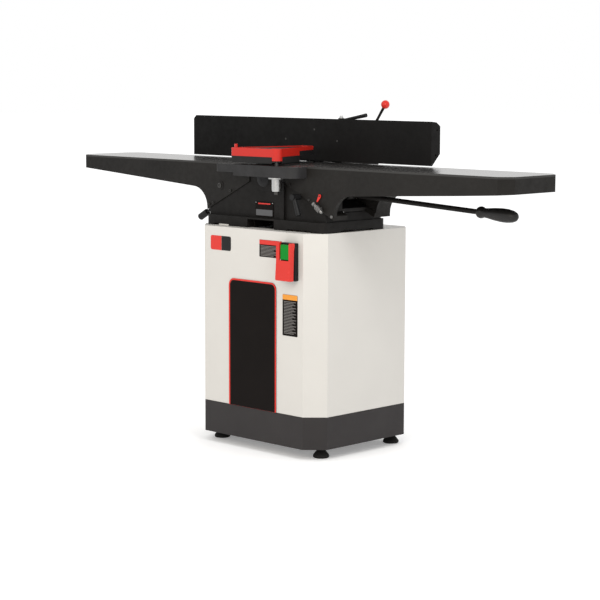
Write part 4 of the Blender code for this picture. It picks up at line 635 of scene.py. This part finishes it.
def fence_details():
    for number, (x, z) in enumerate(((-0.156, 0.872), (-0.039, 0.902), (0.052, 0.871))):
        domed_screw(f"fence_screw_{number}", Vector((x, FENCE_FACE, z)), FRONT, 0.0030, 0.0006,
                      FASTENER, "fence_body")
    for number, x in enumerate((-0.115, 0.011)):
        hex_bolt(f"carriage_bolt_{number}", at(x, 0.430, 0.8265), UP, 0.0065, 0.007, FASTENER,
                 "carriage")
    hex_bolt("tilt_lock_nut", at(-0.052, STUD_Y, 0.9318), UP, 0.0052, 0.008, STEEL, "tilt_lock")
    hex_bolt("slide_lock_nut", at(0.030, 0.3414, 0.845), FRONT, 0.0055, 0.006, STEEL, "slide_lock")


def is_clear_of_fins(angle):
    """True over the motor's foot and behind its terminal box."""
    turned = (angle / (2 * math.pi) + 0.03) % 1
    over_foot = 0.62 < turned < 0.90
    at_box = abs(math.sin(angle)) < 0.45 and math.cos(angle) > 0
    return over_foot or at_box


def motor_details():
    """Cooling fins round the motor's body."""
    count = 18
    middle = Matrix.Translation(at(HEAD_X, MOTOR_MIDDLE, MOTOR_Z))
    bm = bmesh.new()
    for number in range(count):
        angle = 2 * math.pi * number / count
        if is_clear_of_fins(angle):
            continue
        fin = bmesh.ops.create_cube(bm, size=1.0)["verts"]
        bmesh.ops.scale(bm, vec=(0.009, 0.090, 0.0022), verts=fin)
        bmesh.ops.translate(bm, vec=(0.0815, 0.0, 0.0), verts=fin)
        bmesh.ops.transform(bm, matrix=middle @ Matrix.Rotation(-angle, 4, "Y"), verts=fin)
    add_mesh("motor_fins", bm, MOTOR, "stand")


cabinet_details()
bed_details()
table_details()
depth_stop_details()
fence_details()
motor_details()


# ---------------------------------------------------------------- stage, light and camera

def stage_floor():
    """A white disc, wide enough that its edge is never seen."""
    bm = bmesh.new()
    bmesh.ops.create_circle(bm, cap_ends=True, segments=96, radius=40.0)
    mesh = bpy.data.meshes.new("floor")
    bm.to_mesh(mesh)
    bm.free()
    s = Shader("studio_floor")
    tone = s.blend(s.spread(s.noise(0.4, 2.0), 0.0, 1.0), (0.90, 0.90, 0.90), (0.92, 0.92, 0.92))
    s.link(tone, s.surface.inputs["Base Color"])
    s.set(Roughness=0.9, Specular_IOR_Level=0.0, Emission_Color=(1.0, 1.0, 1.0, 1.0),
          Emission_Strength=0.24)
    mesh.materials.append(s.material)
    floor = bpy.data.objects.new("floor", mesh)
    bpy.context.scene.collection.objects.link(floor)


def area_light(name, place, target, size, power, colour=(1.0, 1.0, 1.0)):
    data = bpy.data.lights.new(name, "AREA")
    data.shape = "RECTANGLE"
    data.size = size[0]
    data.size_y = size[1]
    data.energy = power
    data.color = colour
    light = bpy.data.objects.new(name, data)
    light.location = place
    aim = Vector(target) - Vector(place)
    light.rotation_euler = aim.to_track_quat("-Z", "Y").to_euler()
    bpy.context.scene.collection.objects.link(light)


def studio():
    """An even white surround, a soft key from the front right and weak lamps on guard and back."""
    world = bpy.data.worlds.new("studio")
    world.use_nodes = True
    background = world.node_tree.nodes["Background"]
    background.inputs["Color"].default_value = (1.0, 1.0, 1.0, 1.0)
    background.inputs["Strength"].default_value = 1.0
    bpy.context.scene.world = world
    area_light("key", (1.5, -3.5, 2.0), (0.0, 0.0, 0.5), (1.6, 1.6), 30.0, (1.0, 0.90, 0.74))
    area_light("accent", (0.80, -0.50, 1.25), (0.0, -0.12, 0.85), (0.25, 0.25), 3.0)
    area_light("back", (0.8, 3.2, 2.6), (0.0, 0.0, 0.7), (2.0, 1.5), 8.0)


def camera():
    """Looks at the jointer from the front right and a little above."""
    heading = math.radians(44.70)
    dip = math.radians(7.225)
    roll = 0.0026
    data = bpy.data.cameras.new("camera")
    data.sensor_width = 36.0
    data.lens = 108.85
    data.clip_end = 200.0
    obj = bpy.data.objects.new("camera", data)
    obj.location = at(3.6363, -3.5487, 1.0724)
    turn = Matrix.Rotation(heading, 4, "Z") @ Matrix.Rotation(math.radians(90) - dip, 4, "X")
    turn = turn @ Matrix.Rotation(roll, 4, "Z")
    obj.rotation_euler = turn.to_euler()
    bpy.context.scene.collection.objects.link(obj)
    bpy.context.scene.camera = obj


stage_floor()
studio()
camera()
bpy.context.scene.view_settings.view_transform = "Standard"
